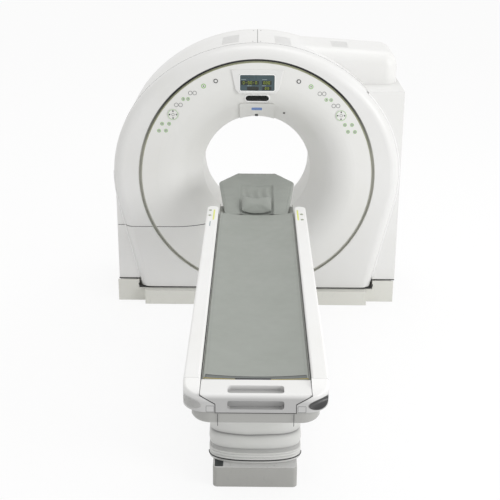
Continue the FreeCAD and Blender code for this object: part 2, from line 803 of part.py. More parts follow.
# Feet that carry each cover on the frame.
feet = []
for index, angle in enumerate((20, 70, 110, 160, 205, 335)):
    reach = D.frame_outer - 26
    turn = math.radians(angle)
    feet.append(rod(
        "stay_%d" % index, "Y", (reach * math.cos(turn), front + D.groove_depth + D.groove_wall,
                                 iso + reach * math.sin(turn)),
        8, frame_near - front - D.groove_depth - D.groove_wall,
    ))
node("tilt_frame", fuse("tilt_frame", frame_plate, *feet))

# ------------------------------------------------------------------ rotor
face = D.rotor_face * 1
disc_far = D.rotor_face + D.rotor_disc
drum = turned("drum", [
    (face, D.rotor_radius * 1),
    (face, D.hub_inner * 1),
    (D.hub_end, D.hub_inner * 1),
    (D.hub_end, D.hub_outer * 1),
    (disc_far, D.hub_outer * 1),
    (disc_far, D.rotor_radius * 1),
])


def spun(angle, across, outward):
    """A point on the rotor, turned about the axis by an angle from straight up."""
    turn = math.radians(angle)
    return (
        across * math.cos(turn) + outward * math.sin(turn),
        iso + (outward * math.cos(turn) - across * math.sin(turn)),
    )


def module(name, angle, half_width, low, high, near, chamfer=12):
    """A box that is bolted to the rotor's disc, with its long corners cut."""
    corners = [
        spun(angle, across, outward) for across, outward in (
            (-half_width, low), (half_width, low), (half_width, high - chamfer),
            (half_width - chamfer, high), (chamfer - half_width, high), (-half_width, high - chamfer),
        )
    ]
    return slab(name, corners, near, face)


tube_near = Size(-130, "-130")
tube_centre = spun(0, 0, D.tube_orbit)
tube_can = rod("tube_can", "Y", (0, tube_near, tube_centre[1]), D.tube_radius, face - tube_near)
tube_port = block(
    "tube_port", (-45, 45), (-45, 45),
    (tube_centre[1] - D.tube_radius - 14, tube_centre[1]),
)
tube_fins = [
    rod("tube_fin_%d" % index, "Y", (0, tube_near + 24 + 22 * index, tube_centre[1]), D.tube_radius + 7, 8)
    for index in range(3)
]
node("xray_tube", fuse("xray_tube", tube_can, tube_port, *tube_fins))
collimator_top = D.tube_orbit - D.tube_radius - 15
collimator_box = module("collimator_box", 0, 105, collimator_top - 62, collimator_top, Size(-70, "-70"), 10)
beam_slot = block("beam_slot", (-60, 60), (-10, 10), (iso + 400, iso + 700))
node("collimator", cut("collimator", collimator_box, beam_slot))
node("hv_generator", module("hv_generator", -62, 150, 500, 690, Size(-110, "-110")))
node("tube_cooler", module("tube_cooler", 52, 140, 520, 690, Size(-100, "-100")))
node("data_unit", module("data_unit", 118, 110, 520, 690, Size(-80, "-80")))
weights = [
    module("weight_%d" % index, -103 + 6 * index, 55, 560, 700, Size(-60, "-60"))
    for index in (-1, 1)
]
node("rotor_drum", fuse("rotor_drum", drum, *weights))

focus = tube_centre[1] - 10
fan_outer = rod("fan_outer", "Y", (0, -50, focus), D.fan_radius + D.detector_depth, face + 50)
fan_inner = rod("fan_inner", "Y", (0, -51, focus), D.fan_radius * 1, face + 52)
fan_reach = D.fan_radius + 90
fan_half = fan_reach * 0.42
fan_wedge = slab("fan_wedge", [
    (0, focus), (fan_half * -1, focus - fan_reach), (fan_half, focus - fan_reach),
], Size(-50, "-50"), face)
node("detector_arc", common("detector_arc", cut("fan_ring", fan_outer, fan_inner), fan_wedge))

slip_near = D.hub_end * 1
slip_inner = D.hub_inner + 12
slip_outer = D.hub_outer - 10
slip_profile = [(slip_near, slip_inner), (slip_near + 62, slip_inner), (slip_near + 62, slip_outer)]
for index in range(3):
    start = slip_near + 50 - 18 * index
    slip_profile += [
        (start, slip_outer), (start, slip_outer - 4), (start - 8, slip_outer - 4), (start - 8, slip_outer),
    ]
slip_profile.append((slip_near, slip_outer))
node("slip_ring", turned("slip_ring", slip_profile))

brush_low = slip_outer + 1
brush_body = slab("brush_body", [
    spun(-90, across, outward) for across, outward in (
        (-50, brush_low + 12), (50, brush_low + 12), (50, D.frame_inner + 40), (-50, D.frame_inner + 40),
    )
], frame_far + 6, slip_near + 70)
brushes = [
    slab("brush_%d" % index, [
        spun(-90, across, outward) for across, outward in (
            (-30, brush_low), (30, brush_low), (30, brush_low + 12), (-30, brush_low + 12),
        )
    ], slip_near + 44 - 18 * index, slip_near + 48 - 18 * index)
    for index in range(3)
]
node("brush_block", fuse("brush_block", brush_body, *brushes))

# ------------------------------------------------------------------ rotor drive
belt_near = face + 3
belt_width = D.rotor_disc - 6
spread = root(D.pulley_across * D.pulley_across * 2)


def belt_corners(grow):
    """The tight loop round the rotor's rim and the pulley, seen along the axis."""
    large = D.rotor_radius + grow
    small = D.pulley_radius + grow
    lean = (large - small) / spread
    along = root(1 - lean * lean)
    ease = math.sqrt(0.5)
    points = []
    for radius, centre_x, centre_z, sense in (
        (large, 0, iso, -1), (small, motor_across, motor_height, -1),
        (small, motor_across, motor_height, 1), (large, 0, iso, 1),
    ):
        normal_x = ease * lean + ease * along * sense
        normal_z = ease * lean * -1 + ease * along * sense
        points.append((centre_x + radius * normal_x, centre_z + radius * normal_z))
    return points, large, small


def belt_form(name, grow, near, width):
    """The belt's filled outline: two long straights and the ends of two circles."""
    (low_a, low_b, high_b, high_a), large, small = belt_corners(grow)
    body = slab(name + "_run", [low_a, low_b, high_b, high_a], near, near + width)
    big = rod(name + "_rim", "Y", (0, near, iso), large, width)
    small_end = rod(name + "_nose", "Y", (motor_across, near, motor_height), small, width)
    return fuse(name, body, big, small_end)


belt_outer = belt_form("belt_outer", D.bearing_gap + D.belt_thickness, belt_near, belt_width)
belt_inner = belt_form("belt_inner", D.bearing_gap, belt_near - 1, belt_width + 2)
node("drive_belt", cut("drive_belt", belt_outer, belt_inner))
shaft_end = frame_far + 60
pulley_wheel = rod("pulley_wheel", "Y", (motor_across, face, motor_height), D.pulley_radius, D.rotor_disc)
pulley_shaft = rod("pulley_shaft", "Y", (motor_across, face, motor_height), 14, shaft_end - face)
node("motor_pulley", fuse("motor_pulley", pulley_wheel, pulley_shaft))
motor_can = rod("motor_can", "Y", (motor_across, frame_far, motor_height), 75, 150)
motor_bore = rod("motor_bore", "Y", (motor_across, frame_far - 1, motor_height), 14.5, 70)
node("drive_motor", cut("drive_motor", motor_can, motor_bore))

# ------------------------------------------------------------------ base, plinth and columns
beam_top = D.foot_height + D.beam_height
column_mid = (D.column_inner + D.column_outer) / 2
frame_rear = D.plinth_front + 10 - D.plinth_wall - D.seat_gap
frame_front = (D.plinth_front - D.plinth_wall - D.seat_gap) * -1
beams = []
anchors = []
for sign, word in ((-1, "left"), (1, "right")):
    low_x, high_x = (D.column_outer * -1, D.column_inner * -1) if sign < 0 else (D.column_inner * 1, D.column_outer * 1)
    beams.append(block("side_beam_" + word, (low_x, high_x), (-370, frame_rear), (D.foot_height, beam_top)))
    for along, place in ((D.anchor_along * -1, "front"), (D.anchor_along * 1, "rear")):
        tag = "%s_%s" % (word, place)
        beams.append(rod("foot_" + tag, "Z", (column_mid * sign, along, 0), 36, D.foot_height))
        anchors.append(rod("anchor_" + tag, "Z", (column_mid * sign, along, -5), D.anchor_hole, beam_top + 10))
front_half = D.plinth_nose_half - D.plinth_wall - D.seat_gap
low_cross = block("front_beam", (front_half * -1, front_half), (frame_front, -395), (D.foot_height, beam_top))
rear_cross = block(
    "rear_beam", (D.column_inner * -1, D.column_inner), (395, frame_rear), (D.foot_height, beam_top),
)
beams.append(rear_cross)
links = []
for sign, word in ((-1, "left"), (1, "right")):
    reach_in, reach_out = (front_half - 80) * sign, D.column_outer * sign
    low_x, high_x = (reach_out, reach_in) if sign < 0 else (reach_in, reach_out)
    links.append(block("link_" + word, (low_x, high_x), (-370, -325), (D.foot_height, beam_top)))
    reach_out = front_half * sign
    low_x, high_x = (reach_out, reach_in) if sign < 0 else (reach_in, reach_out)
    links.append(block("step_" + word, (low_x, high_x), (frame_front, -325), (D.foot_height, beam_top)))
node("base_frame", cut("base_frame", fuse("base_beams", *beams, low_cross, *links), *anchors))

plinth = {}
for inset, word in ((0, "skin"), (D.plinth_wall, "hollow")):
    middle_half = D.plinth_middle_half + inset
    sides_half = D.plinth_half - inset
    lower = 0 if word == "skin" else -10
    nose_half = D.plinth_nose_half - inset
    middle = fuse(
        "plinth_middle_" + word,
        block("plinth_nose_" + word, (nose_half * -1, nose_half), (inset - D.plinth_front, 0),
              (lower, D.plinth_middle_height - inset)),
        block("plinth_body_" + word, (middle_half * -1, middle_half),
              (inset - D.plinth_side_front, D.plinth_front + 10 - inset),
              (lower, D.plinth_middle_height - inset)),
    )
    trough = rod("trough_" + word, "X", (far_out * -1, 0, iso), D.trough_radius + inset, far_out * 2)
    sides = []
    for sign, side_word in ((-1, "left"), (1, "right")):
        inner_x = (D.plinth_middle_half + inset) * sign
        outer_x = sides_half * sign
        low_x, high_x = (outer_x, inner_x) if sign < 0 else (inner_x, outer_x)
        sides.append(block("plinth_%s_%s" % (side_word, word), (low_x, high_x),
                           (inset - D.plinth_side_front, D.plinth_front + 10 - inset), (lower, D.plinth_side_height - inset)))
    channel = rod("channel_" + word, "X", (far_out * -1, 0, iso), D.swing_radius + D.swing_gap + inset, far_out * 2)
    pair = cut("plinth_sides_" + word, fuse("plinth_pair_" + word, *sides), channel)
    plinth[word] = fuse("plinth_" + word, cut("plinth_belly_" + word, middle, trough), pair)
doors = []
for sign, word in ((-1, "left"), (1, "right")):
    low_x, high_x = (D.column_outer * -1 - 4, D.column_inner * -1 + 4) if sign < 0 else (D.column_inner - 4, D.column_outer + 4)
    doors.append(block("column_hole_" + word, (low_x, high_x), (D.column_depth * -1 - 4, D.column_depth + 4), (20, 300)))
duct_room = D.duct_half + D.slide_gap
duct_hole = block("duct_hole", (duct_room * -1, duct_room), (-460, -440), (-5, D.duct_height + D.slide_gap))
node("plinth_cover", cut(
    "plinth_cover", plinth["skin"], plinth["hollow"], *doors, duct_hole,
))

for sign, word in ((-1, "left"), (1, "right")):
    low_x, high_x = (D.column_outer * -1, D.column_inner * -1) if sign < 0 else (D.column_inner * 1, D.column_outer * 1)
    post = block("post_" + word, (low_x, high_x), (D.column_depth * -1, D.column_depth), (beam_top, iso))
    head = rod("head_" + word, "X", (low_x, 0, iso), D.column_head * 1, high_x - low_x)
    journal = rod("journal_" + word, "X", (low_x - 1, 0, iso), D.trunnion_radius + D.bearing_gap, high_x - low_x + 2)
    node("tilt_column_" + word, cut("tilt_column_" + word, fuse("post_all_" + word, post, head), journal))

# The tilt gear case sits on the left column's inner side, round the trunnion.
gear_case = rod("gear_case", "X", (D.column_inner * -1, 0, iso), 78, D.column_inner - D.frame_outer - 14)
gear_motor = rod("gear_motor", "Z", (column_mid * -1 + 64, 0, iso + 60), 26, 170)
gear_bore = rod("gear_bore", "X", (far_out * -1, 0, iso), D.trunnion_radius + D.bearing_gap, far_out)
node("tilt_gearmotor", cut("tilt_gearmotor", fuse("gear_all", gear_case, gear_motor), gear_bore))

# ------------------------------------------------------------------ table base and lift
base_low = D.base_foot * -1
base_high = D.base_head * -1
lift_near = D.lift_foot * -1
lift_far = D.lift_head * -1


def rounded_plan(half, near, far, rounding):
    """A level rectangle with rounded corners, turning left all the way."""
    return [
        (half * -1 + rounding, near), (half - rounding, near, rounding),
        (half, near + rounding), (half, far - rounding, rounding),
        (half - rounding, far), (half * -1 + rounding, far, rounding),
        (half * -1, far - rounding), (half * -1, near + rounding, rounding),
    ]


base_wall = D.plinth_wall * 1
base_skin = plate("base_skin", rounded_plan(D.base_half * 1, base_low, base_high, Size(24, "24")), Size(0, "0"), D.base_height * 1)
add_fillet(base_skin, base_skin.Tip, 8 * base_wall / 4, lambda edge: abs(edge.CenterOfMass.z - float(D.base_height)) < 1e-3)
base_hollow = plate(
    "base_hollow",
    rounded_plan(D.base_half - base_wall, base_low + base_wall, base_high - base_wall, 24 - base_wall),
    Size(-5, "-5"), D.base_height - base_wall,
)
lift_hole = block(
    "lift_hole", (D.lift_half * -1 - 1, D.lift_half + 1), (lift_near - 1, lift_far + 1), (0, D.base_height + 5),
)
table_duct_hole = block(
    "table_duct_hole", (duct_room * -1, duct_room), (base_high - 20, base_high + 20),
    (-5, D.duct_height + D.slide_gap),
)
node("table_base_cover", cut("table_base_cover", base_skin, base_hollow, lift_hole, table_duct_hole))
frame_half = D.base_half - base_wall - 4
table_plate = plate(
    "table_plate", rounded_plan(frame_half, base_low + 30, base_high - 30, Size(15, "15")), Size(0, "0"),
    D.base_plate * 1,
)
table_anchors = [
    rod("table_anchor_%d" % index, "Z", (across * (frame_half - 30), along, -5), D.anchor_hole, D.base_plate + 10)
    for index, (across, along) in enumerate(((-1, base_low + 90), (1, base_low + 90), (-1, base_high - 90), (1, base_high - 90)))
]
node("table_base_frame", cut("table_base_frame", table_plate, *table_anchors))


def lift_case(name, step, low, high):
    """One square tube of the telescopic lift."""
    shrink = D.lift_step * step
    outer = block(
        name + "_skin", (shrink - D.lift_half, D.lift_half - shrink), (lift_near + shrink, lift_far - shrink), (low, high),
    )
    depth = shrink + D.lift_wall
    space = block(
        name + "_space", (depth - D.lift_half, D.lift_half - depth), (lift_near + depth, lift_far - depth),
        (low - 1, high + 1),
    )
    return cut(name, outer, space)


pads = D.lift_step - D.lift_wall - D.slide_gap


def slide_pads(name, step, centre_z):
    """Bearing pads on a tube's outside that run on the tube around it."""
    shrink = D.lift_step * step
    pieces = []
    for sign in (-1, 1):
        for along in (lift_near + 90, lift_far - 130):
            start = (D.lift_half - shrink) * sign
            low_x, high_x = (start - pads, start) if sign < 0 else (start, start + pads)
            pieces.append(block("%s_%d" % (name, len(pieces)), (low_x, high_x), (along, along + 40), (centre_z, centre_z + 50)))
        for across in (-60, 30):
            edge_y = lift_near + shrink if sign < 0 else lift_far - shrink
            low_y, high_y = (edge_y - pads, edge_y) if sign < 0 else (edge_y, edge_y + pads)
            pieces.append(block("%s_%d" % (name, len(pieces)), (across, across + 30), (low_y, high_y), (centre_z, centre_z + 50)))
    return pieces


plate_top = D.base_plate * 1
lift_height = (D.shell_bottom - D.base_plate + D.lift_overlap * 2) / 3
middle_low = plate_top + lift_height - D.lift_overlap
inner_low = D.shell_bottom - lift_height
node("lift_outer_case", lift_case("lift_outer_case", 0, plate_top, plate_top + lift_height))
node("lift_middle_case", fuse(
    "lift_middle_case",
    lift_case("middle_tube", 1, middle_low, middle_low + lift_height - 4),
    *slide_pads("middle_pad", 1, middle_low + 4),
))
screw_y = (lift_near + lift_far) / 2
lift_body = rod("lift_body", "Z", (0, screw_y, plate_top), 48, 90)
lift_screw = rod("lift_screw", "Z", (0, screw_y, plate_top), 14, lift_height - 6)
lift_can = rod("lift_can", "Y", (0, screw_y + 30, plate_top + 52), 36, 150)
node("lift_motor", fuse("lift_motor", lift_body, lift_screw, lift_can))
nut_low = inner_low + 95
nut_tube = rod("nut_tube", "Z", (0, screw_y, nut_low), 30, D.shell_bottom - nut_low)
nut_bore = rod("nut_bore", "Z", (0, screw_y, inner_low - 1), 14.5, D.shell_bottom - inner_low - 10)
nut_web = block("nut_web", (-112, 112), (screw_y - 5, screw_y + 5), (D.shell_bottom - 40, D.shell_bottom * 1))
node("lift_inner_case", fuse(
    "lift_inner_case",
    lift_case("inner_tube", 2, inner_low, D.shell_bottom * 1),
    *slide_pads("inner_pad", 2, inner_low + 4),
    cut("lift_nut", fuse("nut_all", nut_tube, nut_web), nut_bore),
))

node("floor_cable_duct", block(
    "floor_cable_duct", (D.duct_half * -1, D.duct_half),
    (base_high - 10, D.plinth_front * -1 + D.plinth_wall - D.slide_gap), (0, D.duct_height),
))


# ------------------------------------------------------------------ table top
table_near = D.table_foot * -1
rail_near = D.rail_foot * -1
rail_far = D.rail_head * -1
shell_far = D.shell_head * -1


def rail_plan(inset):
    """A long strip whose head end is a half circle."""
    inner_x = D.rail_inner + inset
    outer_x = D.rail_outer - inset
    nose = (outer_x - inner_x) / 2
    end = rail_far - inset - nose
    middle = (inner_x + outer_x) / 2
    return [
        (inner_x, rail_near + inset), (outer_x, rail_near + inset), (outer_x, end, nose),
        (middle, end + nose, nose), (inner_x, end),
    ]


rail_skin = plate("rail_skin", rail_plan(0), D.rail_bottom * 1, D.rail_top * 1)
add_fillet(
    rail_skin, rail_skin.Tip, D.rail_wall * 2.5,
    lambda edge: abs(edge.CenterOfMass.z - float(D.rail_top)) < 1e-3 and edge.CenterOfMass.y > float(rail_near) + 1,
)
rail_space = plate("rail_space", rail_plan(D.rail_wall), D.rail_bottom - 1, D.rail_top - D.rail_wall)
rail_blank = cut("rail_blank", rail_skin, rail_space)
key_low = D.rail_top - D.rail_wall
table_keys = {
    "table_key_left_1": (22 - D.rail_outer, -994), "table_key_left_2": (22 - D.rail_outer, -1093),
    "table_key_right_1": (D.rail_outer - 30, -1065), "table_key_right_2": (D.rail_outer - 30, -1167),
}
rail_holes = {"left": [], "right": []}
for name, (across, along) in table_keys.items():
    side = "left" if float(across) < 0 else "right"
    rail_holes[side].append(rod(name + "_hole", "Z", (across, along, key_low - 1), D.table_key + D.key_gap, 10))
    body = new_body(name)
    sketch = new_sketch(body, "XY_Plane", key_low)
    circle(sketch, across, along, D.table_key)
    add_pad(body, sketch, D.rail_wall + 3)
    node(name, body)
node("rail_right", cut("rail_right", rail_blank, *rail_holes["right"]))
node("rail_left", cut("rail_left", mirrored("rail_mirror", rail_blank), *rail_holes["left"]))

shell_skin = plate(
    "shell_skin", rounded_plan(D.shell_half * 1, rail_near, shell_far, Size(30, "30")), D.shell_bottom * 1,
    D.deck_top * 1,
)
add_fillet(
    shell_skin, shell_skin.Tip, D.shell_wall * 4,
    lambda edge: abs(edge.CenterOfMass.z - float(D.shell_bottom)) < 1e-3,
)
shell_space = plate(
    "shell_space",
    rounded_plan(D.shell_half - D.shell_wall, rail_near + D.shell_wall, shell_far - D.shell_wall, 30 - D.shell_wall),
    D.shell_bottom + D.shell_wall * 2, D.deck_top - D.deck_depth,
)
guides = []
for sign, word in ((-1, "left"), (1, "right")):
    centre = D.guide_centre * sign
    guides.append(block(
        "guide_" + word, (centre - 9, centre + 9), (rail_near + 10, shell_far - 20),
        (D.deck_top * 1, D.cradle_bottom - D.slide_gap),
    ))
node("table_shell", fuse("table_shell", cut("shell_box", shell_skin, shell_space), *guides))

motor_roller = rod("motor_roller", "X", (-60, -1500, D.cradle_bottom - 26), 24, 120)
motor_foot = block("motor_foot", (-90, 90), (-1530, -1470), (D.deck_top * 1, D.deck_top + 12))
motor_side = block("motor_side", (60, 150), (-1522, -1478), (D.deck_top * 1, D.cradle_bottom - 6))
node("cradle_motor", fuse("cradle_motor", motor_roller, motor_foot, motor_side))


def grip_corners(grow):
    """The section of the cradle's end piece, wide at the top and narrow below."""
    wide = D.grip_half + grow
    narrow = D.grip_low_half + grow
    return [
        (narrow * -1, D.grip_low - grow), (narrow, D.grip_low - grow),
        (narrow, D.grip_waist + grow * -1 + 3), (wide, D.grip_top - 5 - grow),
        (wide, D.grip_top + 0), (wide * -1, D.grip_top + 0), (wide * -1, D.grip_top - 5 - grow),
        (narrow * -1, D.grip_waist + grow * -1 + 3),
    ]


def channel_corners():
    """The end piece's section with its clearance, open upward."""
    corners = grip_corners(D.grip_gap)
    corners[4] = (corners[4][0], D.grip_top + 40)
    corners[5] = (corners[5][0], D.grip_top + 40)
    return corners


cradle_near = D.cradle_foot * -1
grip = slab("grip_form", grip_corners(0 * D.grip_gap), table_near, cradle_near)
add_fillet(
    grip, grip.Tip, D.grip_gap * 3,
    lambda edge: lies_at(edge, table_near) and edge.CenterOfMass.z > float(D.grip_top) - 1,
)
top_recess = plate(
    "top_recess", rounded_plan(D.recess_half * 1, table_near + 14, table_near + 82, Size(16, "16")),
    D.grip_top - 22, D.grip_top + 5,
)
recess_corner = 12
recess_low = D.grip_low + 16
recess_high = D.grip_low + 56
front_recess = slab("front_recess", [
    (recess_corner - D.recess_half, recess_low), (D.recess_half - recess_corner, recess_low, recess_corner),
    (D.recess_half, recess_low + recess_corner), (D.recess_half, recess_high - recess_corner, recess_corner),
    (D.recess_half - recess_corner, recess_high), (recess_corner - D.recess_half, recess_high, recess_corner),
    (D.recess_half * -1, recess_high - recess_corner), (D.recess_half * -1, recess_low + recess_corner, recess_corner),
], table_near - 5, table_near + 28)


def foot_plan(half, near, rounding):
    """The foot end's level outline, with two wide rounded corners."""
    return [
        (rounding - half, near), (half - rounding, near, rounding), (half, near + rounding), (half, rail_near),
        (half * -1, rail_near), (half * -1, near + rounding, rounding),
    ]


foot_reach = plate("foot_reach", [
    (D.foot_corner - D.rail_outer, table_near), (D.rail_outer - D.foot_corner, table_near, D.foot_corner),
    (D.rail_outer, table_near + D.foot_corner), (D.rail_outer, cradle_near + 1),
    (D.rail_outer * -1, cradle_near + 1), (D.rail_outer * -1, table_near + D.foot_corner, D.foot_corner),
], D.grip_low - 10, D.grip_top + 10)
node("foot_grip", cut("foot_grip", common("grip_shape", grip, foot_reach), top_recess, front_recess))

foot_upper = plate(
    "foot_upper", foot_plan(D.rail_outer, table_near, D.foot_corner), D.foot_step, D.foot_top,
)
slope_sketch = new_sketch(foot_upper, "YZ_Plane", far_out * -1)
outline(slope_sketch, [
    (table_near - 1, D.foot_top - D.foot_slope), (rail_near + 1, D.foot_top), (rail_near + 1, D.foot_top + 20),
    (table_near - 1, D.foot_top + 20),
])
add_pocket(foot_upper, slope_sketch, far_out * 2, True)
add_fillet(
    foot_upper, foot_upper.Tip, D.rail_wall * 3,
    lambda edge: edge.CenterOfMass.z > float(D.grip_top) - 10 and edge.CenterOfMass.y < float(rail_near) - 1,
)
foot_lower = plate(
    "foot_lower", foot_plan(D.shell_half - 5, table_near + 4, D.foot_corner - 15), D.foot_low, D.foot_step,
)
add_fillet(
    foot_lower, foot_lower.Tip, D.shell_wall * 5,
    lambda edge: abs(edge.CenterOfMass.z - float(D.foot_low)) < 1e-3
    and edge.CenterOfMass.y < float(rail_near) - 1,
)
foot_channel = slab("foot_channel", channel_corners(), table_near - 10, rail_near + 10)
# A leaf-shaped hollow at each corner: a flat ball that bites into the rounded corner.
leaf_reach = 200
leaf_half = 48
leaf_out = (leaf_reach - 26) * math.sqrt(0.5)
hollows = []
for sign, word in ((-1, "left"), (1, "right")):
    leaf = doc.addObject("Part::Ellipsoid", "leaf_" + word)
    leaf.Radius1 = leaf_half
    leaf.Radius2 = leaf_reach
    leaf.Radius3 = leaf_reach
    leaf_corner = D.foot_corner * (1 - math.sqrt(0.5))
    place = (
        (D.rail_outer - leaf_corner + leaf_out) * sign, table_near + leaf_corner - leaf_out, D.foot_step + 31,
    )
    leaf.Placement = Placement(Vector(*[float(value) for value in place]), Rotation())
    for letter, value in zip("xyz", place):
        bind(leaf, "Placement.Base." + letter, value)
    hollows.append(leaf)
node("foot_cover", cut("foot_cover", fuse("foot_all", foot_upper, foot_lower), foot_channel, *hollows))

# ------------------------------------------------------------------ cradle and cushions
def sag_radius(half, sag):
    return (half * half + sag * sag) / (sag * 2)


tray = D.pad_half + D.slide_gap
bend = sag_radius(D.pad_half, D.pad_sag)
floor = D.pad_top - D.pad_depth - D.slide_gap
flat = D.guide_centre + 13
cradle_far = D.cradle_head * -1
cradle_body = slab("cradle_form", [
    (flat * -1, D.cradle_bottom * 1), (flat, D.cradle_bottom * 1), (D.cradle_half * 1, D.cradle_bottom + 17),
    (D.cradle_half * 1, floor + 16), (tray, floor + 16), (tray, floor, bend * -1), (tray * -1, floor),
    (tray * -1, floor + 16), (D.cradle_half * -1, floor + 16), (D.cradle_half * -1, D.cradle_bottom + 17),
], cradle_near, cradle_far)
nose_cuts = []
for sign, word in ((-1, "left"), (1, "right")):
    corner = plate("nose_cut_" + word, [
        (D.cradle_half * sign + 1 * sign, cradle_far + 1), (D.cradle_half * sign - 46 * sign, cradle_far + 1),
        (D.cradle_half * sign + 1 * sign, cradle_far - 46),
    ], D.cradle_bottom - 100, D.cradle_bottom + 150)
    nose_cuts.append(corner)
node("cradle", cut("cradle", cradle_body, *nose_cuts))

pad_near = D.pad_foot * -1
pad_far = D.pad_head * -1
pad_bottom = D.pad_top - D.pad_depth
mattress = slab("mattress", [
    (D.pad_half * 1, pad_bottom), (D.pad_half * 1, D.pad_top * 1, bend * -1), (D.pad_half * -1, D.pad_top * 1),
    (D.pad_half * -1, pad_bottom, bend),
], pad_near, pad_far)
add_fillet(
    mattress, mattress.Tip, D.pad_depth / 3,
    lambda edge: edge.CenterOfMass.z > float(D.pad_top) - float(D.pad_sag) - 1,
)
node("mattress", mattress)

board_near = D.board_near * -1
board_wide = D.board_wide * -1
board_far = D.board_far * -1
board_plan = plate("board_plan", [
    (D.board_near_half * -1, board_near), (D.board_near_half * 1, board_near), (D.board_half * 1, board_wide),
    (D.board_far_half * 1, board_far), (D.board_far_half * -1, board_far), (D.board_half * -1, board_wide),
], D.cradle_bottom - 100, D.cradle_bottom + 400)
board_end = D.board_low + (board_far - board_near) * D.board_rise
board_side = profile("board_side", [
    (board_near, D.board_low - 7), (cradle_far - 20, D.board_low - 2), (board_far, board_end - 26),
    (board_far, board_end), (board_near, D.board_low),
], D.board_half * -1 - 20, D.board_half + 20)
board_form = common("board_form", board_plan, board_side)
channel_radius = sag_radius(D.channel_half, D.channel_sag)
lean = math.degrees(math.atan(float(D.board_rise)))
board_channel = rod(
    "board_channel", "Y",
    (0, board_near - 10, D.board_low - 2.2 + channel_radius - D.channel_sag), channel_radius, 620,
)
board_tilt = lean + float(D.channel_fade) - 90
board_channel.Placement = Placement(board_channel.Placement.Base, Rotation(Vector(1, 0, 0), board_tilt))
tongue = block("tongue", (-70, 70), (board_near + 60, cradle_far + 90), (floor - D.pad_sag + 2, D.board_low - 1))
carried = fuse("board_all", cut("board_dished", board_form, board_channel), tongue)
node("head_board", cut("head_board", carried, cradle_body))


def cushion(name, half, near, far, low, high):
    """A crowned cushion: a loft through a small bottom, a full waist and a small top."""
    body = new_body(name)
    sections = []
    for height, inset in ((low, 9), (low + (high - low) * 0.3, 1), (low + (high - low) * 0.6, 2), (high, 24)):
        sketch = new_sketch(body, "XY_Plane", height)
        outline(sketch, rounded_plan(half - inset, near + inset, far - inset, Size(34 - inset * 0.4, "%s" % (34 - inset * 0.4))))
        sections.append(sketch)
    loft = body.newObject("PartDesign::AdditiveLoft", name + "_loft")
    loft.Profile = sections[0]
    loft.Sections = sections[1:]
    doc.recompute()
    return body


pillow_near = board_near + 6
pillow = cushion("pillow_form", D.channel_half - 3, pillow_near, pillow_near + 150,
                 D.board_low - 16, D.board_low + 44)
beneath = cut("beneath_board", profile("beneath_form", [
    (board_near - 100, D.board_low - 200), (board_far, D.board_low - 200), (board_far, board_end),
    (board_near - 100, D.board_low - D.board_rise * 100),
], D.board_half * -1, D.board_half), board_channel)
node("head_pillow", cut("head_pillow", pillow, beneath, tongue, cradle_body))

# The lift's bellows: fine folds stacked at the bottom, and wide ones pulled open above.
fine = 6
fine_pitch = 11.3
wide_folds = 5
wide_start = float(D.bellows_low) + fine * fine_pitch
wide_pitch = (float(D.bellows_high) - wide_start) / wide_folds
levels = [(float(D.bellows_low), 1.0)]
for index in range(fine):
    start = float(D.bellows_low) + index * fine_pitch
    levels += [(start + fine_pitch * 0.5, 0.0), (start + fine_pitch, 0.6)]
for index in range(wide_folds):
    start = wide_start + index * wide_pitch
    levels += [(start + wide_pitch * 0.22, 0.12), (start + wide_pitch * 0.6, 0.0), (start + wide_pitch, 1.0)]


def plan_wire(half, near, far, rounding, height):
    """The bellows' level outline as a wire, with bowed ends."""
    bow = float(D.bellows_bow)
    corners = [(float(corner[0]), float(corner[1])) for corner in rounded_plan(
        Size(half, "0"), Size(near + bow, "0"), Size(far - bow, "0"), Size(rounding, "0"))]
    ends = {0: (0, near), 4: (0, far)}
    near, far = near + bow, far - bow
    edges = []
    cut_in = rounding * (1 - math.sqrt(0.5))
    middles = {1: (half - cut_in, near + cut_in), 3: (half - cut_in, far - cut_in),
               5: (cut_in - half, far - cut_in), 7: (cut_in - half, near + cut_in)}
    for index in range(8):
        start = Vector(*corners[index], height)
        end = Vector(*corners[(index + 1) % 8], height)
        if index in middles or index in ends:
            middle = middles.get(index) or ends[index]
            edges.append(Part.Arc(start, Vector(*middle, height), end).toShape())
        else:
            edges.append(Part.LineSegment(start, end).toShape())
    return Part.Wire(edges)


fold = float(D.bellows_fold)
wires = [
    plan_wire(
        float(D.bellows_half) - fold * share, -float(D.bellows_foot) + fold * share,
        -float(D.bellows_head) - fold * share, float(D.bellows_corner) - fold * share, height,
    )
    for height, share in levels
]
folds = Part.makeLoft(wires, True, True)
room = Part.Face(plan_wire(
    float(D.bellows_half) - fold - 5, -float(D.bellows_foot) + fold + 5, -float(D.bellows_head) - fold - 5,
    float(D.bellows_corner) - fold - 5, float(D.bellows_low) - 5,
)).extrude(Vector(0, 0, float(D.bellows_high - D.bellows_low) + 10))
node("bellows", feature("bellows", folds.cut(room)))


# ------------------------------------------------------------------ checks and export
doc.recompute()
for thing in doc.Objects:
    if "Invalid" in thing.State or "Error" in thing.State:
        raise RuntimeError("%s: %s" % (thing.Name, thing.State))
for name, thing in nodes:
    shape = thing.Shape
    if shape.isNull() or not shape.isValid() or shape.Volume < 1:
        raise RuntimeError("%s has no sound shape" % name)
for name, thing in nodes:
    thing.Shape.exportStep("parts/%s.step" % name)
print("%d sub-parts" % len(nodes))
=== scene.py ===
import math

import bmesh
import bpy
import numpy as np
from bpy.props import FloatProperty, FloatVectorProperty, PointerProperty
from bpy.types import Operator, Panel, PropertyGroup
from mathutils import Matrix, Vector


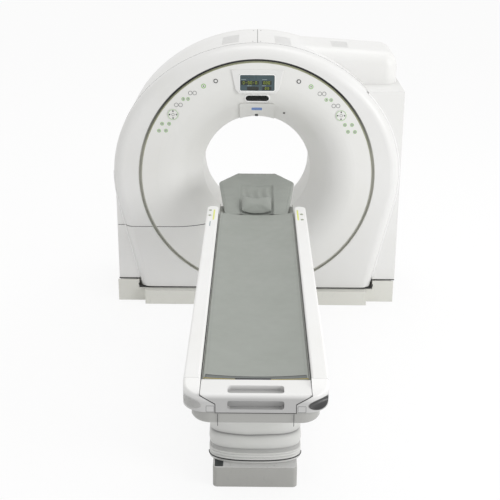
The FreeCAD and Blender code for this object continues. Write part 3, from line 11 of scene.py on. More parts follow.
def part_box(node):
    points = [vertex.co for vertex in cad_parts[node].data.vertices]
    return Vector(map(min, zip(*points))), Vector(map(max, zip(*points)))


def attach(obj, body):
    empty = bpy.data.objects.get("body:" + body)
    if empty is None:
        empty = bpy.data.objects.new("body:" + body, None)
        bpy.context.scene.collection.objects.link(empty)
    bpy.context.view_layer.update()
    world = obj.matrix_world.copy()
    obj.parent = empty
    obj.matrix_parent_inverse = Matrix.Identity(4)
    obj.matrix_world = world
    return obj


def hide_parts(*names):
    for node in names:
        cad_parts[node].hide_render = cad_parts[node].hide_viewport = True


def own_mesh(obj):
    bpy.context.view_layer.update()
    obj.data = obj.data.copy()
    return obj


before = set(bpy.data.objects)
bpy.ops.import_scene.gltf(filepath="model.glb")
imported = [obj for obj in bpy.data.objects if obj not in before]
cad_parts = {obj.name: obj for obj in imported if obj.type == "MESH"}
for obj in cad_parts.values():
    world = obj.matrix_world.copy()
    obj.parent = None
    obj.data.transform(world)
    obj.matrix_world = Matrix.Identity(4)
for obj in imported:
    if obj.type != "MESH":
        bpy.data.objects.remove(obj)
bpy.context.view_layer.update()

bl_info = {
    "name": "CT scanner looks",
    "version": (1, 0, 0),
    "blender": (4, 5, 0),
    "location": "View3D > Sidebar > Scanner",
    "description": "Finishes, cushions, bellows, keys and studio for a CT scanner",
    "category": "Object",
}

# The gantry's measures in metres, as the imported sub-parts have them: the axis's height, the
# flat front, the bore, the covers' outline, the groove, the dished face's section, and the
# fronts of the travelling keys and of the display's glass.
ISO = 0.927
FACE_Y = -0.400
BORE = 0.375
CROWN_TOP = 1.816
CROWN_RADIUS = 1.050
SIDE_CENTRE = 0.157
SIDE_TAPER = math.radians(13)
GROOVE_INNER, GROOVE_OUTER = 0.783, 0.806
FUNNEL_SLOPE = math.radians(35.4)
SHOULDER_ROUND = 0.250
LIP_Y, LIP_ROUND = -0.150, 0.030
KEY_FACE_Y = -0.4040
GLASS_Y = -0.4072
# The table's measures: the front of its foot and the top of its rails.
FOOT_Y = -3.372
RAIL_TOP = 0.8850
# The leaf-shaped hollows at the foot's corners: the centre and the half axes of an ellipsoid.
HOLLOW_PLACE = (0.4057, -3.4657, 0.815)
HOLLOW_REACH = (0.2, 0.2, 0.048)


# ---------------------------------------------------------------- settings
def colour(name, description, red, green, blue):
    """A colour setting, given as the sRGB bytes it shows as."""
    shares = [c / 255 for c in (red, green, blue)]
    linear = [((c + 0.055) / 1.055) ** 2.4 if c > 0.04045 else c / 12.92 for c in shares]
    return FloatVectorProperty(
        name=name, description=description, subtype="COLOR", size=3, min=0, max=1, default=linear,
    )


def length(name, description, default):
    """A length setting in metres."""
    return FloatProperty(
        name=name, description=description, default=default, unit="LENGTH", subtype="DISTANCE",
    )


class ScannerColours(PropertyGroup):
    """The colours of the scanner's finishes."""

    cover: colour("Covers", "Moulded white covers", 224, 224, 223)
    housing: colour("Housing", "Side and roof covers behind the front", 228, 228, 227)
    face: colour("Face", "The dished face round the bore", 226, 226, 224)
    plinth: colour("Plinth", "Plinth of the gantry", 216, 216, 210)
    base: colour("Table base", "Box under the bellows", 164, 164, 161)
    shell: colour("Table shell", "Underside shell of the table", 163, 163, 160)
    rail: colour("Rails", "Side rails of the table", 236, 236, 235)
    grip: colour("Grip", "The cradle's end piece", 230, 230, 229)
    mattress: colour("Mattress", "Vinyl of the mattress", 147, 151, 145)
    holder: colour("Head holder", "Cover of the head and arm board", 147, 151, 145)
    bellows: colour("Bellows", "Folded skin of the lift", 204, 204, 202)
    groove: colour("Groove", "Floor of the groove round the face", 196, 196, 188)
    olive: colour("Groove wall", "Inner wall of the groove", 184, 186, 156)
    glass: colour("Window", "Dark windows", 10, 10, 11)
    screen: colour("Screen", "The display's slate ground", 58, 78, 84)
    digit: colour("Digits", "The display's lit digits", 170, 190, 40)
    go_key: colour("Green prints", "Green rings of the printed keys", 150, 190, 128)
    grey_key: colour("Grey prints", "Grey rings of the printed keys", 150, 150, 150)
    steel: colour("Steel", "Painted steel frames", 138, 142, 144)
    cast: colour("Cast metal", "Cast aluminium parts", 168, 170, 172)
    copper: colour("Slip ring", "Copper tracks", 196, 142, 92)
    carbon: colour("Cradle", "Lacquered carbon of the cradle", 146, 148, 141)


class ScannerSizes(PropertyGroup):
    """The sizes of the pieces that are made here."""

    pad_edge: length("Mattress edge", "Radius of the mattress's edges", 0.009)
    pleat_depth: length("Pleat depth", "How far the bellows folds in", 0.018)
    skin: length("Bellows skin", "Thickness of the bellows", 0.003)
    key_rise: length("Key rise", "How far a printed key stands out", 0.0012)
    seal: length("Seal radius", "Radius of the rubber seals in the joints", 0.0022)
    camera_height: length("Camera height", "Height of the camera over the floor", 2.968)
    camera_back: length("Camera distance", "How far the camera stands in front of the isocentre", 7.228)


def colours():
    """The scene's colour settings."""
    return bpy.context.scene.scanner_colours


def sizes():
    """The scene's size settings."""
    return bpy.context.scene.scanner_sizes


# ---------------------------------------------------------------- materials
class Recipe:
    """A material under construction: a Principled shader and the nodes that feed it."""

    def __init__(self, name, base, roughness, metallic=0.0):
        self.material = bpy.data.materials.new(name)
        self.material.use_nodes = True
        self.tree = self.material.node_tree
        self.shader = self.tree.nodes["Principled BSDF"]
        self.shader.inputs["Roughness"].default_value = roughness
        self.shader.inputs["Metallic"].default_value = metallic
        self.shader.inputs["Base Color"].default_value = (*base, 1)
        self.base = tuple(base)
        self.roughness = roughness
        self.place = self.tree.nodes.new("ShaderNodeTexCoord").outputs["Object"]
        self.normal = None
        self.tone = None

    def node(self, kind, **values):
        """Adds a node and sets its own properties."""
        made = self.tree.nodes.new(kind)
        for key, value in values.items():
            setattr(made, key, value)
        return made

    def link(self, source, target):
        """Joins an output to an input."""
        self.tree.links.new(source, target)

    def stretched(self, scale, shift=(0, 0, 0)):
        """Object coordinates moved and scaled by axis."""
        mapping = self.node("ShaderNodeMapping")
        mapping.inputs["Location"].default_value = shift
        mapping.inputs["Scale"].default_value = scale
        self.link(self.place, mapping.inputs["Vector"])
        return mapping.outputs["Vector"]

    def height(self):
        """The height of a point over the floor."""
        split = self.node("ShaderNodeSeparateXYZ")
        self.link(self.place, split.inputs["Vector"])
        return split.outputs["Z"]

    def noise(self, scale, detail=2.0, place=None):
        """Cloudy noise from 0 to 1, finer with a larger scale."""
        made = self.node("ShaderNodeTexNoise")
        made.inputs["Scale"].default_value = scale
        made.inputs["Detail"].default_value = detail
        self.link(place or self.place, made.inputs["Vector"])
        return made.outputs["Fac"]

    def ramp(self, source, low, high, start=0.3, end=0.7):
        """Maps a value in a straight line: start becomes low, end becomes high, held beyond both."""
        made = self.node("ShaderNodeMapRange")
        for key, value in (("From Min", start), ("From Max", end), ("To Min", low), ("To Max", high)):
            made.inputs[key].default_value = value
        self.link(source, made.inputs["Value"])
        return made.outputs["Result"]

    def times(self, first, second):
        """The product of two values."""
        made = self.node("ShaderNodeMath", operation="MULTIPLY")
        self.link(first, made.inputs[0])
        self.link(second, made.inputs[1])
        return made.outputs[0]

    def mix(self, share, other):
        """Blends another colour over the tone so far, by a share from 0 to 1."""
        made = self.node("ShaderNodeMix", data_type="RGBA")
        if self.tone is None:
            made.inputs["A"].default_value = (*self.base, 1)
        else:
            self.link(self.tone, made.inputs["A"])
        made.inputs["B"].default_value = (*other, 1)
        self.link(share, made.inputs["Factor"])
        self.tone = made.outputs["Result"]
        self.link(self.tone, self.shader.inputs["Base Color"])

    def mottle(self, amount, scale=4.0, tint=(1.0, 1.0, 1.0)):
        """Slow changes of tone, as in aged plastic or paint."""
        dark = [c * (1 - amount) * t for c, t in zip(self.base, tint)]
        self.mix(self.ramp(self.noise(scale, 4.0), 0, 1), dark)

    def scuffs(self, amount, low, high):
        """Rubbed marks that thin out from one height to another."""
        spots = self.ramp(self.noise(55, 6.0, self.stretched((1, 1, 0.4))), 0, 1, 0.58, 0.70)
        near = self.ramp(self.height(), 1, 0, low, high)
        self.mix(self.times(self.times(spots, near), self.ramp(self.noise(7), 0.2, 1)),
                 [c * (1 - amount) for c in self.base])

    def vary_roughness(self, amount, scale=30.0):
        """Lets the roughness wander by an amount either way, after a noise."""
        source = self.ramp(self.noise(scale, 3.0), self.roughness - amount, self.roughness + amount)
        self.link(source, self.shader.inputs["Roughness"])

    def bump(self, source, strength, distance):
        """Adds fine relief from a height value, on top of the relief so far."""
        made = self.node("ShaderNodeBump")
        made.inputs["Strength"].default_value = strength
        made.inputs["Distance"].default_value = distance
        self.link(source, made.inputs["Height"])
        if self.normal:
            self.link(self.normal, made.inputs["Normal"])
        self.normal = made.outputs["Normal"]
        self.link(self.normal, self.shader.inputs["Normal"])


def moulded(name, base, roughness=0.42, grain=700, coat=0.0, strength=0.12):
    """Moulded or painted plastic: a fine orange-peel grain and slow changes of tone."""
    recipe = Recipe(name, base, roughness)
    recipe.mottle(0.035, 2.5, (1.0, 0.998, 0.985))
    recipe.vary_roughness(0.05)
    recipe.bump(recipe.noise(grain, 2.0), strength, 0.0004)
    recipe.bump(recipe.noise(9, 1.0), 0.05, 0.002)
    recipe.shader.inputs["Coat Weight"].default_value = coat
    return recipe


def shell_with_painted_shade(name, base, lower, start, end):
    """Moulded plastic whose lower part is painted a darker grey, with a soft change: painted shade on
    the lower front, which faces away from the light.
    """
    recipe = moulded(name, base, 0.4)
    recipe.mix(recipe.ramp(recipe.height(), 1, 0, start, end), lower)
    return recipe.material


def foot_enamel_with_painted_shade(name, base, front, lower):
    """The foot's enamel: white on top, painted greyer down the front as shade, painted in the shell's
    grey below the step as the shade under it, and the two leaf-shaped hollows at its corners each in a
    grey of painted shade, lighter on the left than on the right. A hollow is where a point lies within
    an ellipsoid: its distance from the centre, measured in the ellipsoid's half axes, is under one."""
    recipe = moulded(name, base, 0.36)
    # Painted shade: the front darkens to 0.62 of the grip's white below 0.872 m, fully below 0.828 m.
    recipe.mix(recipe.ramp(recipe.height(), 1, 0, 0.828, 0.872), [v * 0.62 for v in front])
    scale = [1 / half for half in HOLLOW_REACH]
    # Painted shade in the hollows: mid grey in the left one, near black in the right one.
    for side, tone in ((-1, (0.50, 0.50, 0.49)), (1, (0.055, 0.055, 0.055))):
        centre = (side * HOLLOW_PLACE[0], *HOLLOW_PLACE[1:])
        shift = [-place * times for place, times in zip(centre, scale)]
        reach = recipe.node("ShaderNodeVectorMath", operation="LENGTH")
        recipe.link(recipe.stretched(scale, shift), reach.inputs[0])
        recipe.mix(recipe.ramp(reach.outputs["Value"], 1, 0, 1.02, 1.05), tone)
    # Painted shade: below the step the foot takes the shell's darker grey.
    recipe.mix(recipe.ramp(recipe.height(), 1, 0, 0.780, 0.786), lower)
    return recipe.material


def trim_plastic(name, base):
    """Coarser plastic near the floor, scuffed by shoes and mops."""
    recipe = moulded(name, base, 0.5, 420, strength=0.2)
    recipe.scuffs(0.10, 0.06, 0.16)
    return recipe.material


def box_plastic_with_painted_top_light(name, base, top, level):
    """A box's plastic with a lighter lid from a level upwards: painted light on the top, which faces the
    lamps.
    """
    recipe = moulded(name, base, 0.5, 420, strength=0.2)
    # Painted light: the top face is lighter than the sides.
    recipe.mix(recipe.ramp(recipe.height(), 0, 1, level, level + 0.001), top)
    recipe.scuffs(0.10, 0.06, 0.16)
    return recipe.material


def groove_rubber_with_painted_shade(name, base, wall, dark):
    """The groove's lining by its distance from the axis: a light inner wall and a grey floor,
    which is painted near black towards the top as the shade where the cover overhangs it."""
    recipe = Recipe(name, base, 0.6)
    recipe.mottle(0.06, 8.0)
    radius = recipe.node("ShaderNodeVectorMath", operation="LENGTH")
    recipe.link(recipe.stretched((1, 0, 1), (0, 0, -ISO)), radius.inputs[0])
    outward = recipe.ramp(radius.outputs["Value"], 0, 1, 0.7900, 0.7912)
    # Painted shade: the floor darkens with height, under the cover's overhang.
    upward = recipe.ramp(recipe.height(), 0, 1, 1.10, 1.50)
    recipe.mix(recipe.times(outward, upward), dark)
    inward = recipe.ramp(radius.outputs["Value"], 1, 0, 0.7900, 0.7912)
    recipe.mix(recipe.times(inward, recipe.ramp(recipe.height(), 0.15, 1, 0.95, 1.30)), wall)
    recipe.bump(recipe.noise(500, 2.0), 0.2, 0.0004)
    recipe.vary_roughness(0.08)
    return recipe.material


def painted(name, base, roughness=0.5):
    """Sprayed steel: a pebbled coat with a few rubbed spots."""
    recipe = Recipe(name, base, roughness)
    recipe.mottle(0.08, 6.0)
    recipe.mix(recipe.ramp(recipe.noise(38, 6.0), 0, 0.5, 0.62, 0.75), [min(1, c * 1.25) for c in base])
    recipe.vary_roughness(0.08)
    recipe.bump(recipe.noise(420, 2.0), 0.25, 0.0004)
    return recipe.material


def machined(name, base, roughness=0.28):
    """Turned or milled metal with fine tool marks."""
    recipe = Recipe(name, base, roughness, 1.0)
    recipe.mottle(0.10, 8.0)
    marks = recipe.noise(1.0, 3.0, recipe.stretched((4, 300, 300)))
    recipe.bump(marks, 0.18, 0.0003)
    shine = recipe.ramp(marks, roughness - 0.08, roughness + 0.12)
    recipe.link(shine, recipe.shader.inputs["Roughness"])
    return recipe.material


def cast(name, base):
    """Sand-cast aluminium: a coarse skin."""
    recipe = Recipe(name, base, 0.55, 0.85)
    recipe.mottle(0.12, 12.0)
    recipe.bump(recipe.noise(260, 5.0), 0.45, 0.0008)
    recipe.vary_roughness(0.1, 60)
    return recipe.material


def vinyl(name, base, roughness, crease_shade):
    """Coated upholstery cloth: tiny pebbles from a cell pattern, soft creases, and painted shade in
    the folds, where the mesh carries a point attribute for it."""
    recipe = Recipe(name, base, roughness)
    recipe.mottle(0.05, 5.0, (0.99, 1.0, 0.985))
    # Painted shade: the point attribute darkens the folds and seams.
    folds = recipe.node("ShaderNodeAttribute", attribute_name="crease_shade")
    recipe.mix(folds.outputs["Fac"], crease_shade)
    cells = recipe.node("ShaderNodeTexVoronoi", feature="SMOOTH_F1")
    cells.inputs["Scale"].default_value = 520
    recipe.link(recipe.place, cells.inputs["Vector"])
    recipe.bump(cells.outputs["Distance"], 0.22, 0.0005)
    recipe.bump(recipe.noise(14, 3.0), 0.12, 0.003)
    recipe.vary_roughness(0.06, 18)
    recipe.shader.inputs["Sheen Weight"].default_value = 0.08
    return recipe.material


def knit(name, base):
    """Woven cover cloth: two crossed sets of threads, and painted shade in the folds."""
    recipe = Recipe(name, base, 0.85)
    recipe.mottle(0.07, 9.0)
    threads = []
    for turn in (math.radians(45), math.radians(-45)):
        mapping = recipe.node("ShaderNodeMapping")
        mapping.inputs["Rotation"].default_value = (0, 0, turn)
        recipe.link(recipe.place, mapping.inputs["Vector"])
        wave = recipe.node("ShaderNodeTexWave", wave_type="BANDS", bands_direction="X")
        wave.inputs["Scale"].default_value = 180
        wave.inputs["Distortion"].default_value = 0.6
        recipe.link(mapping.outputs["Vector"], wave.inputs["Vector"])
        threads.append(wave.outputs["Fac"])
    crossed = recipe.node("ShaderNodeMath", operation="MAXIMUM")
    recipe.link(threads[0], crossed.inputs[0])
    recipe.link(threads[1], crossed.inputs[1])
    recipe.bump(crossed.outputs[0], 0.3, 0.0005)
    recipe.bump(recipe.noise(22, 3.0), 0.15, 0.003)
    # Painted shade: the point attribute darkens the folds and seams.
    folds = recipe.node("ShaderNodeAttribute", attribute_name="crease_shade")
    recipe.mix(folds.outputs["Fac"], [c * 0.45 for c in base])
    recipe.shader.inputs["Sheen Weight"].default_value = 0.2
    return recipe.material


def polished(name, base, roughness=0.12):
    """A glossy window or lacquer with faint wipe marks."""
    recipe = Recipe(name, base, roughness)
    recipe.mottle(0.15, 20.0)
    wipes = recipe.noise(1.0, 5.0, recipe.stretched((30, 160, 12)))
    recipe.link(recipe.ramp(wipes, roughness * 0.7, roughness * 2.2), recipe.shader.inputs["Roughness"])
    recipe.shader.inputs["Coat Weight"].default_value = 0.4
    return recipe.material


def lit(name, base, strength):
    """A digit or lamp that glows a little."""
    recipe = Recipe(name, base, 0.5)
    recipe.mottle(0.25, 160)
    recipe.shader.inputs["Emission Color"].default_value = (*base, 1)
    recipe.shader.inputs["Emission Strength"].default_value = strength
    return recipe.material


def woven_carbon(name, base):
    """Lacquered carbon cloth: a small two-tone check under a clear coat."""
    recipe = Recipe(name, base, 0.3)
    check = recipe.node("ShaderNodeTexChecker")
    check.inputs["Scale"].default_value = 240
    check.inputs["Color1"].default_value = (*[c * 0.8 for c in base], 1)
    check.inputs["Color2"].default_value = (*base, 1)
    recipe.link(recipe.place, check.inputs["Vector"])
    recipe.link(check.outputs["Color"], recipe.shader.inputs["Base Color"])
    recipe.bump(recipe.noise(300, 2.0), 0.1, 0.0003)
    recipe.shader.inputs["Coat Weight"].default_value = 0.5
    return recipe.material


MATERIALS = {}


def make_materials():
    """Every finish once, from the colours in the settings."""
    c = colours()
    black = (0.012, 0.012, 0.013)
    MATERIALS.update(
        cover=moulded("cover enamel", c.cover, 0.38).material,
        housing=moulded("housing enamel", c.housing, 0.42).material,
        face=moulded("face enamel", c.face, 0.45).material,
        liner=moulded("bore window", c.face, 0.45, 300, strength=0.03).material,
        plinth=trim_plastic("plinth plastic", c.plinth),
        # The table base's lighter top colour is painted light.
        base=box_plastic_with_painted_top_light("table base plastic", c.base, (0.60, 0.60, 0.59), 0.1085),
        shell=moulded("table shell plastic", c.shell, 0.48).material,
        rail=moulded("rail enamel", c.rail, 0.36).material,
        # The foot's greys down the front, in its hollows and below its step are painted shade.
        foot=foot_enamel_with_painted_shade("foot enamel", c.rail, c.grip, c.shell),
        table_key=moulded("table key plastic", (0.33, 0.37, 0.27), 0.4).material,
        # The grip's lower front at 0.54 of its white is painted shade.
        grip=shell_with_painted_shade("grip plastic", c.grip, [v * 0.54 for v in c.grip], 0.846, 0.866),
        bezel=moulded("bezel plastic", c.cover, 0.42).material,
        bright=moulded("bright trim and painted highlight", (0.92, 0.92, 0.92), 0.3).material,
        # The groove's near black colour is painted shade.
        groove=groove_rubber_with_painted_shade("groove lining", c.groove, c.olive, (0.03, 0.03, 0.033)),
        dark=moulded("black plastic and painted shadow", black, 0.45).material,
        seal=moulded("joint rubber and painted joint shadow", (0.06, 0.06, 0.06), 0.7, 300).material,
        steel=painted("painted steel", c.steel),
        module=painted("module paint", (0.32, 0.34, 0.35)),
        tube=painted("tube housing paint", (0.62, 0.62, 0.60), 0.4),
        duct=painted("duct paint", (0.44, 0.45, 0.43)),
        bearing=machined("turned steel", (0.55, 0.55, 0.56)),
        cast=cast("cast aluminium", c.cast),
        motor=cast("motor casting", (0.30, 0.30, 0.30)),
        copper=machined("slip ring copper", c.copper, 0.25),
        rubber=moulded("belt rubber", (0.02, 0.02, 0.02), 0.8, 300).material,
        # The bellows' and the mattress's last colours are the painted shade in their folds and seams.
        bellows=vinyl("bellows cloth", c.bellows, 0.55, [v * 0.36 for v in c.bellows]),
        mattress=vinyl("mattress vinyl", c.mattress, 0.46, [v * 0.5 for v in c.mattress]),
        holder=knit("holder cloth", c.holder),
        window=polished("dark window", c.glass),
        screen=polished("screen glass", c.screen, 0.25),
        carbon=woven_carbon("cradle lacquer", c.carbon),
        digit=lit("lit digit", c.digit, 0.35),
        dim_digit=lit("dim digit", (0.035, 0.045, 0.012), 0.1),
        field=polished("dark field", (0.008, 0.012, 0.010), 0.3),
        label=moulded("pale print", (0.30, 0.36, 0.38), 0.5).material,
        mark=moulded("dark print", (0.045, 0.05, 0.05), 0.5).material,
        go_key=moulded("green print", c.go_key, 0.4).material,
        grey_key=moulded("grey print", c.grey_key, 0.4).material,
        strip=moulded("yellow strip", (0.72, 0.76, 0.16), 0.4).material,
        brown=moulded("yellow-brown edging", (0.32, 0.25, 0.05), 0.5).material,
        blue=moulded("blue lens", (0.10, 0.22, 0.55), 0.3).material,
        edge=moulded("pad edge band", (0.125, 0.140, 0.136), 0.5).material,
    )


NODE_FINISH = {
    "cover": ("front_cover", "service_cover"),
    "housing": ("side_cover_left", "top_cover_left", "top_cover_right", "rear_cover", "belly_pan"),
    "face": ("face_cover", "rear_face", "bore_pod", "start_key_left", "start_key_right", "pad_key_left",
             "pad_key_right"),
    "liner": ("bore_liner",),
    "groove": ("groove_ring",),
    "bezel": ("display_bezel",),
    "screen": ("display_screen",),
    "window": ("sensor_window",),
    "table_key": ("table_key_left_1", "table_key_left_2", "table_key_right_1", "table_key_right_2"),
    "plinth": ("plinth_cover",),
    "base": ("table_base_cover",),
    "steel": ("base_frame", "tilt_column_left", "tilt_column_right", "table_base_frame", "lift_outer_case",
              "lift_middle_case", "lift_inner_case"),
    "cast": ("tilt_frame", "rotor_drum"),
    "bearing": ("bearing_outer_ring", "motor_pulley"),
    "module": ("brush_block", "collimator", "hv_generator", "tube_cooler", "data_unit", "detector_arc"),
    "tube": ("xray_tube",),
    "copper": ("slip_ring",),
    "rubber": ("drive_belt",),
    "motor": ("drive_motor", "tilt_gearmotor", "lift_motor", "cradle_motor"),
    "duct": ("floor_cable_duct",),
    "shell": ("table_shell",),
    "rail": ("rail_left", "rail_right"),
    "foot": ("foot_cover",),
    "carbon": ("cradle",),
    "grip": ("foot_grip",),
}


# ---------------------------------------------------------------- mesh helpers
def grid_faces(rows, columns, wrap_rows=False, wrap_columns=False):
    """The four-sided faces of a grid of points, numbered row by row."""
    row = np.arange(rows if wrap_rows else rows - 1)
    column = np.arange(columns if wrap_columns else columns - 1)
    r, c = np.meshgrid(row, column, indexing="ij")
    r2, c2 = (r + 1) % rows, (c + 1) % columns
    corners = [r * columns + c, r * columns + c2, r2 * columns + c2, r2 * columns + c]
    return np.stack([corner.ravel() for corner in corners], axis=1)


def new_piece(name, shapes, material, body, crease_shade=None):
    """Puts one or more closed shapes into a mesh piece that rides on a body. A shape is an
    array of points and an array of faces. Doubled points merge and faces turn outwards."""
    points, faces, count = [], [], 0
    for shape_points, shape_faces in shapes:
        shape_points = np.asarray(shape_points, float).reshape(-1, 3)
        points.append(shape_points)
        faces.append(np.asarray(shape_faces, int) + count)
        count += len(shape_points)
    mesh = bpy.data.meshes.new(name)
    mesh.from_pydata(np.concatenate(points).tolist(), [], np.concatenate(faces).tolist())
    # The optional point values are painted shade for folds and seams, which the materials read.
    if crease_shade is not None:
        mesh.attributes.new("crease_shade", "FLOAT", "POINT").data.foreach_set("value", np.ravel(crease_shade))
    made = bmesh.new()
    made.from_mesh(mesh)
    bmesh.ops.remove_doubles(made, verts=made.verts, dist=2e-6)
    bmesh.ops.recalc_face_normals(made, faces=made.faces)
    made.to_mesh(mesh)
    made.free()
    mesh.validate()
    mesh.polygons.foreach_set("use_smooth", np.full(len(mesh.polygons), True))
    mesh.materials.append(MATERIALS[material])
    piece = bpy.data.objects.new(name, mesh)
    bpy.context.scene.collection.objects.link(piece)
    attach(piece, body)
    return piece


def closed_pad(top, bottom):
    """Joins two grids that meet at their borders into one closed skin. The arrays are
    rows x columns x 3, and the bottom's border points are the top's."""
    rows, columns = top.shape[:2]
    index = np.arange(rows * columns).reshape(rows, columns)
    inner = np.zeros((rows, columns), bool)
    inner[1:-1, 1:-1] = True
    under = index.copy()
    under[inner] = rows * columns + np.arange(inner.sum())
    points = np.concatenate([top.reshape(-1, 3), bottom[inner]])
    upper = grid_faces(rows, columns)
    lower = under.ravel()[upper][:, ::-1]
    return points, np.concatenate([upper, lower])


def border(shape):
    """True along the rim of a grid."""
    rim = np.ones(shape, bool)
    rim[1:-1, 1:-1] = False
    return rim


def spread(count, power=2.2):
    """Numbers from -1 to 1 that crowd towards both ends."""
    line = np.linspace(-1, 1, count)
    return np.sign(line) * (1 - (1 - np.abs(line)) ** power)


def edge_rise(distance, radius):
    """How full a pad is at a distance from its edge: a quarter circle, then level."""
    share = np.clip(distance / radius, 0, 1)
    return np.sqrt(np.clip(1 - (1 - share) ** 2, 0, 1))


def rounded_loop(half_a, half_b, radius, count=6):
    """A rounded rectangle about nothing, walked anticlockwise, as two arrays."""
    radius = min(radius, half_a * 0.999, half_b * 0.999)
    corner = np.linspace(0, math.pi / 2, count)
    turns = [(1, -1, -math.pi / 2), (1, 1, 0), (-1, 1, math.pi / 2), (-1, -1, math.pi)]
    a = np.concatenate([sa * (half_a - radius) + radius * np.cos(corner + start) for sa, _, start in turns])
    b = np.concatenate([sb * (half_b - radius) + radius * np.sin(corner + start) for _, sb, start in turns])
    return a, b


def dome(half_a, half_b, corner, rise, sides=6):
    """A low domed plate in its own plane: rings of a rounded rectangle that step out from the
    middle while they fall to the rim, then close behind it."""
    a, b = rounded_loop(half_a, half_b, corner, sides)
    share = np.array([0, 0.55, 0.82, 0.94, 1.0, 1.0, 0])[:, None]
    height = np.array([1.0, 1.0, 0.97, 0.8, 0.3, -0.5, -0.5])[:, None] * rise
    grid = np.stack([a * share, b * share, height + 0 * a], axis=-1)
    return grid, grid_faces(*grid.shape[:2], wrap_columns=True)


def band(inner, outer, rise):
    """A raised frame between two loops with the same number of points: across it, the height
    climbs from the inner edge, rounds over and falls to the outer edge."""
    share = np.array([0, 0, 0.15, 0.5, 0.85, 1, 1])[:, None]
    height = np.array([-0.5, 0.55, 0.9, 1, 0.9, 0.55, -0.5])[:, None] * rise
    a = inner[0] * (1 - share) + outer[0] * share
    b = inner[1] * (1 - share) + outer[1] * share
    grid = np.stack([a, b, height + 0 * a], axis=-1)
    return grid, grid_faces(*grid.shape[:2], wrap_rows=True, wrap_columns=True)


def circle_band(radius, width, rise):
    """A raised ring of a width, measured inwards from its radius."""
    inner = rounded_loop(radius - width, radius - width, radius, 9)
    return band(inner, rounded_loop(radius, radius, radius, 9), rise)


def laid(shape, centre, across=(1, 0, 0), up=(0, 0, 1)):
    """Lays a shape on a plane: its own axes become across, up and the way out between them."""
    grid, faces = shape
    across, up = np.asarray(across, float), np.asarray(up, float)
    out = np.cross(across, up)
    return np.asarray(centre) + grid[..., :1] * across + grid[..., 1:2] * up + grid[..., 2:] * out, faces


# The two directions in which a plate that faces upwards is laid.
LEVEL = ((1, 0, 0), (0, 1, 0))


def face_section():
    """The dished face's own points: the radius where the rounded shoulder leaves the flat
    ring, and then, each as depth and radius, its end on the funnel and the lip's start."""
    sine, cosine, tangent = math.sin(FUNNEL_SLOPE), math.cos(FUNNEL_SLOPE), math.tan(FUNNEL_SLOPE)
    lip = (LIP_Y - LIP_ROUND * sine, BORE + LIP_ROUND * (1 - cosine))
    corner = lip[1] + (lip[0] - FACE_Y) * tangent
    reach = SHOULDER_ROUND * cosine / (1 + sine)
    return corner + reach, (FACE_Y + reach * cosine, corner - reach * sine), lip


def face_depth(radius):
    """How far back the face lies at a distance from the axis: level on the flat ring, a
    circle of 250 mm on the shoulder, straight in the funnel, a circle of 30 mm at the lip."""
    flat, end, lip = face_section()
    fall = np.sqrt(np.clip(SHOULDER_ROUND ** 2 - (flat - radius) ** 2, 0, None))
    shoulder = FACE_Y + SHOULDER_ROUND - fall
    funnel = end[0] + (end[1] - radius) / math.tan(FUNNEL_SLOPE)
    edge = LIP_Y - np.sqrt(np.clip(LIP_ROUND ** 2 - (BORE + LIP_ROUND - radius) ** 2, 0, None))
    inward = np.where(radius >= lip[1], funnel, edge)
    return np.where(radius >= flat, FACE_Y, np.where(radius >= end[1], shoulder, inward))


def on_face(shape, across, up, lift=0.0):
    """Wraps a shape onto the dished face: each point moves back to the surface and then out
    along the surface's normal by its own height."""
    grid, faces = shape
    x, z = across + grid[..., 0], up + grid[..., 1]
    radius = np.hypot(x, z - ISO)
    tilt = (face_depth(radius + 0.0005) - face_depth(radius - 0.0005)) / 0.001
    size = np.sqrt(1 + tilt ** 2)
    height = grid[..., 2] + lift
    inward = height * tilt / size / radius
    points = np.stack([x + inward * x, face_depth(radius) - height / size, z + inward * (z - ISO)], axis=-1)
    return points, faces


def tube(path, normal, radius, sides=8):
    """A round bar along a flat path: circles square to the path, which close to a point at
    both ends. The normal is the plane's own."""
    path, normal = np.asarray(path, float), np.asarray(normal, float)
    along = np.gradient(path, axis=0)
    along /= np.linalg.norm(along, axis=1)[:, None]
    side = np.cross(along, normal)
    angle = np.linspace(0, 2 * math.pi, sides, endpoint=False)
    circle = side[:, None] * np.cos(angle)[None, :, None] + normal * np.sin(angle)[None, :, None]
    points = path[:, None] + circle * radius
    points = np.concatenate([0 * points[:1] + path[0], points, 0 * points[-1:] + path[-1]])
    return points, grid_faces(*points.shape[:2], wrap_columns=True)


# The points on each straight side of the covers' outline, without the arc's first.
LEG_POINTS = 19


def cover_outline(inset, bottom, count=48):
    """The front cover's outline as points, from the left foot over the top to the right foot:
    straight sides drawn in by 13 degrees, side arcs, and a crown arc of 1.05 m radius."""
    crown_centre = CROWN_TOP - CROWN_RADIUS
    reach = math.hypot(SIDE_CENTRE, ISO - crown_centre)
    crown, side = CROWN_RADIUS - inset, CROWN_RADIUS - inset - reach
    lean = math.atan2(ISO - crown_centre, SIDE_CENTRE)
    low = np.linspace(-SIDE_TAPER, lean, count)
    high = np.linspace(lean, math.pi - lean, count)[1:]
    far = np.linspace(math.pi - lean, math.pi + SIDE_TAPER, count)[1:]
    right_x, right_z = SIDE_CENTRE + side * np.cos(low), ISO + side * np.sin(low)
    left_x, left_z = -SIDE_CENTRE + side * np.cos(far), ISO + side * np.sin(far)
    x = np.concatenate([right_x, crown * np.cos(high), left_x])
    z = np.concatenate([right_z, crown_centre + crown * np.sin(high), left_z])
    foot = x[0] - (z[0] - bottom) * math.tan(SIDE_TAPER)
    steps = np.linspace(1, 0, LEG_POINTS + 1)[:-1]
    leg_x, leg_z = x[0] + (foot - x[0]) * steps, z[0] + (bottom - z[0]) * steps
    x = np.concatenate([leg_x, x, -leg_x[::-1]])
    z = np.concatenate([leg_z, z, leg_z[::-1]])
    return x[::-1], z[::-1]


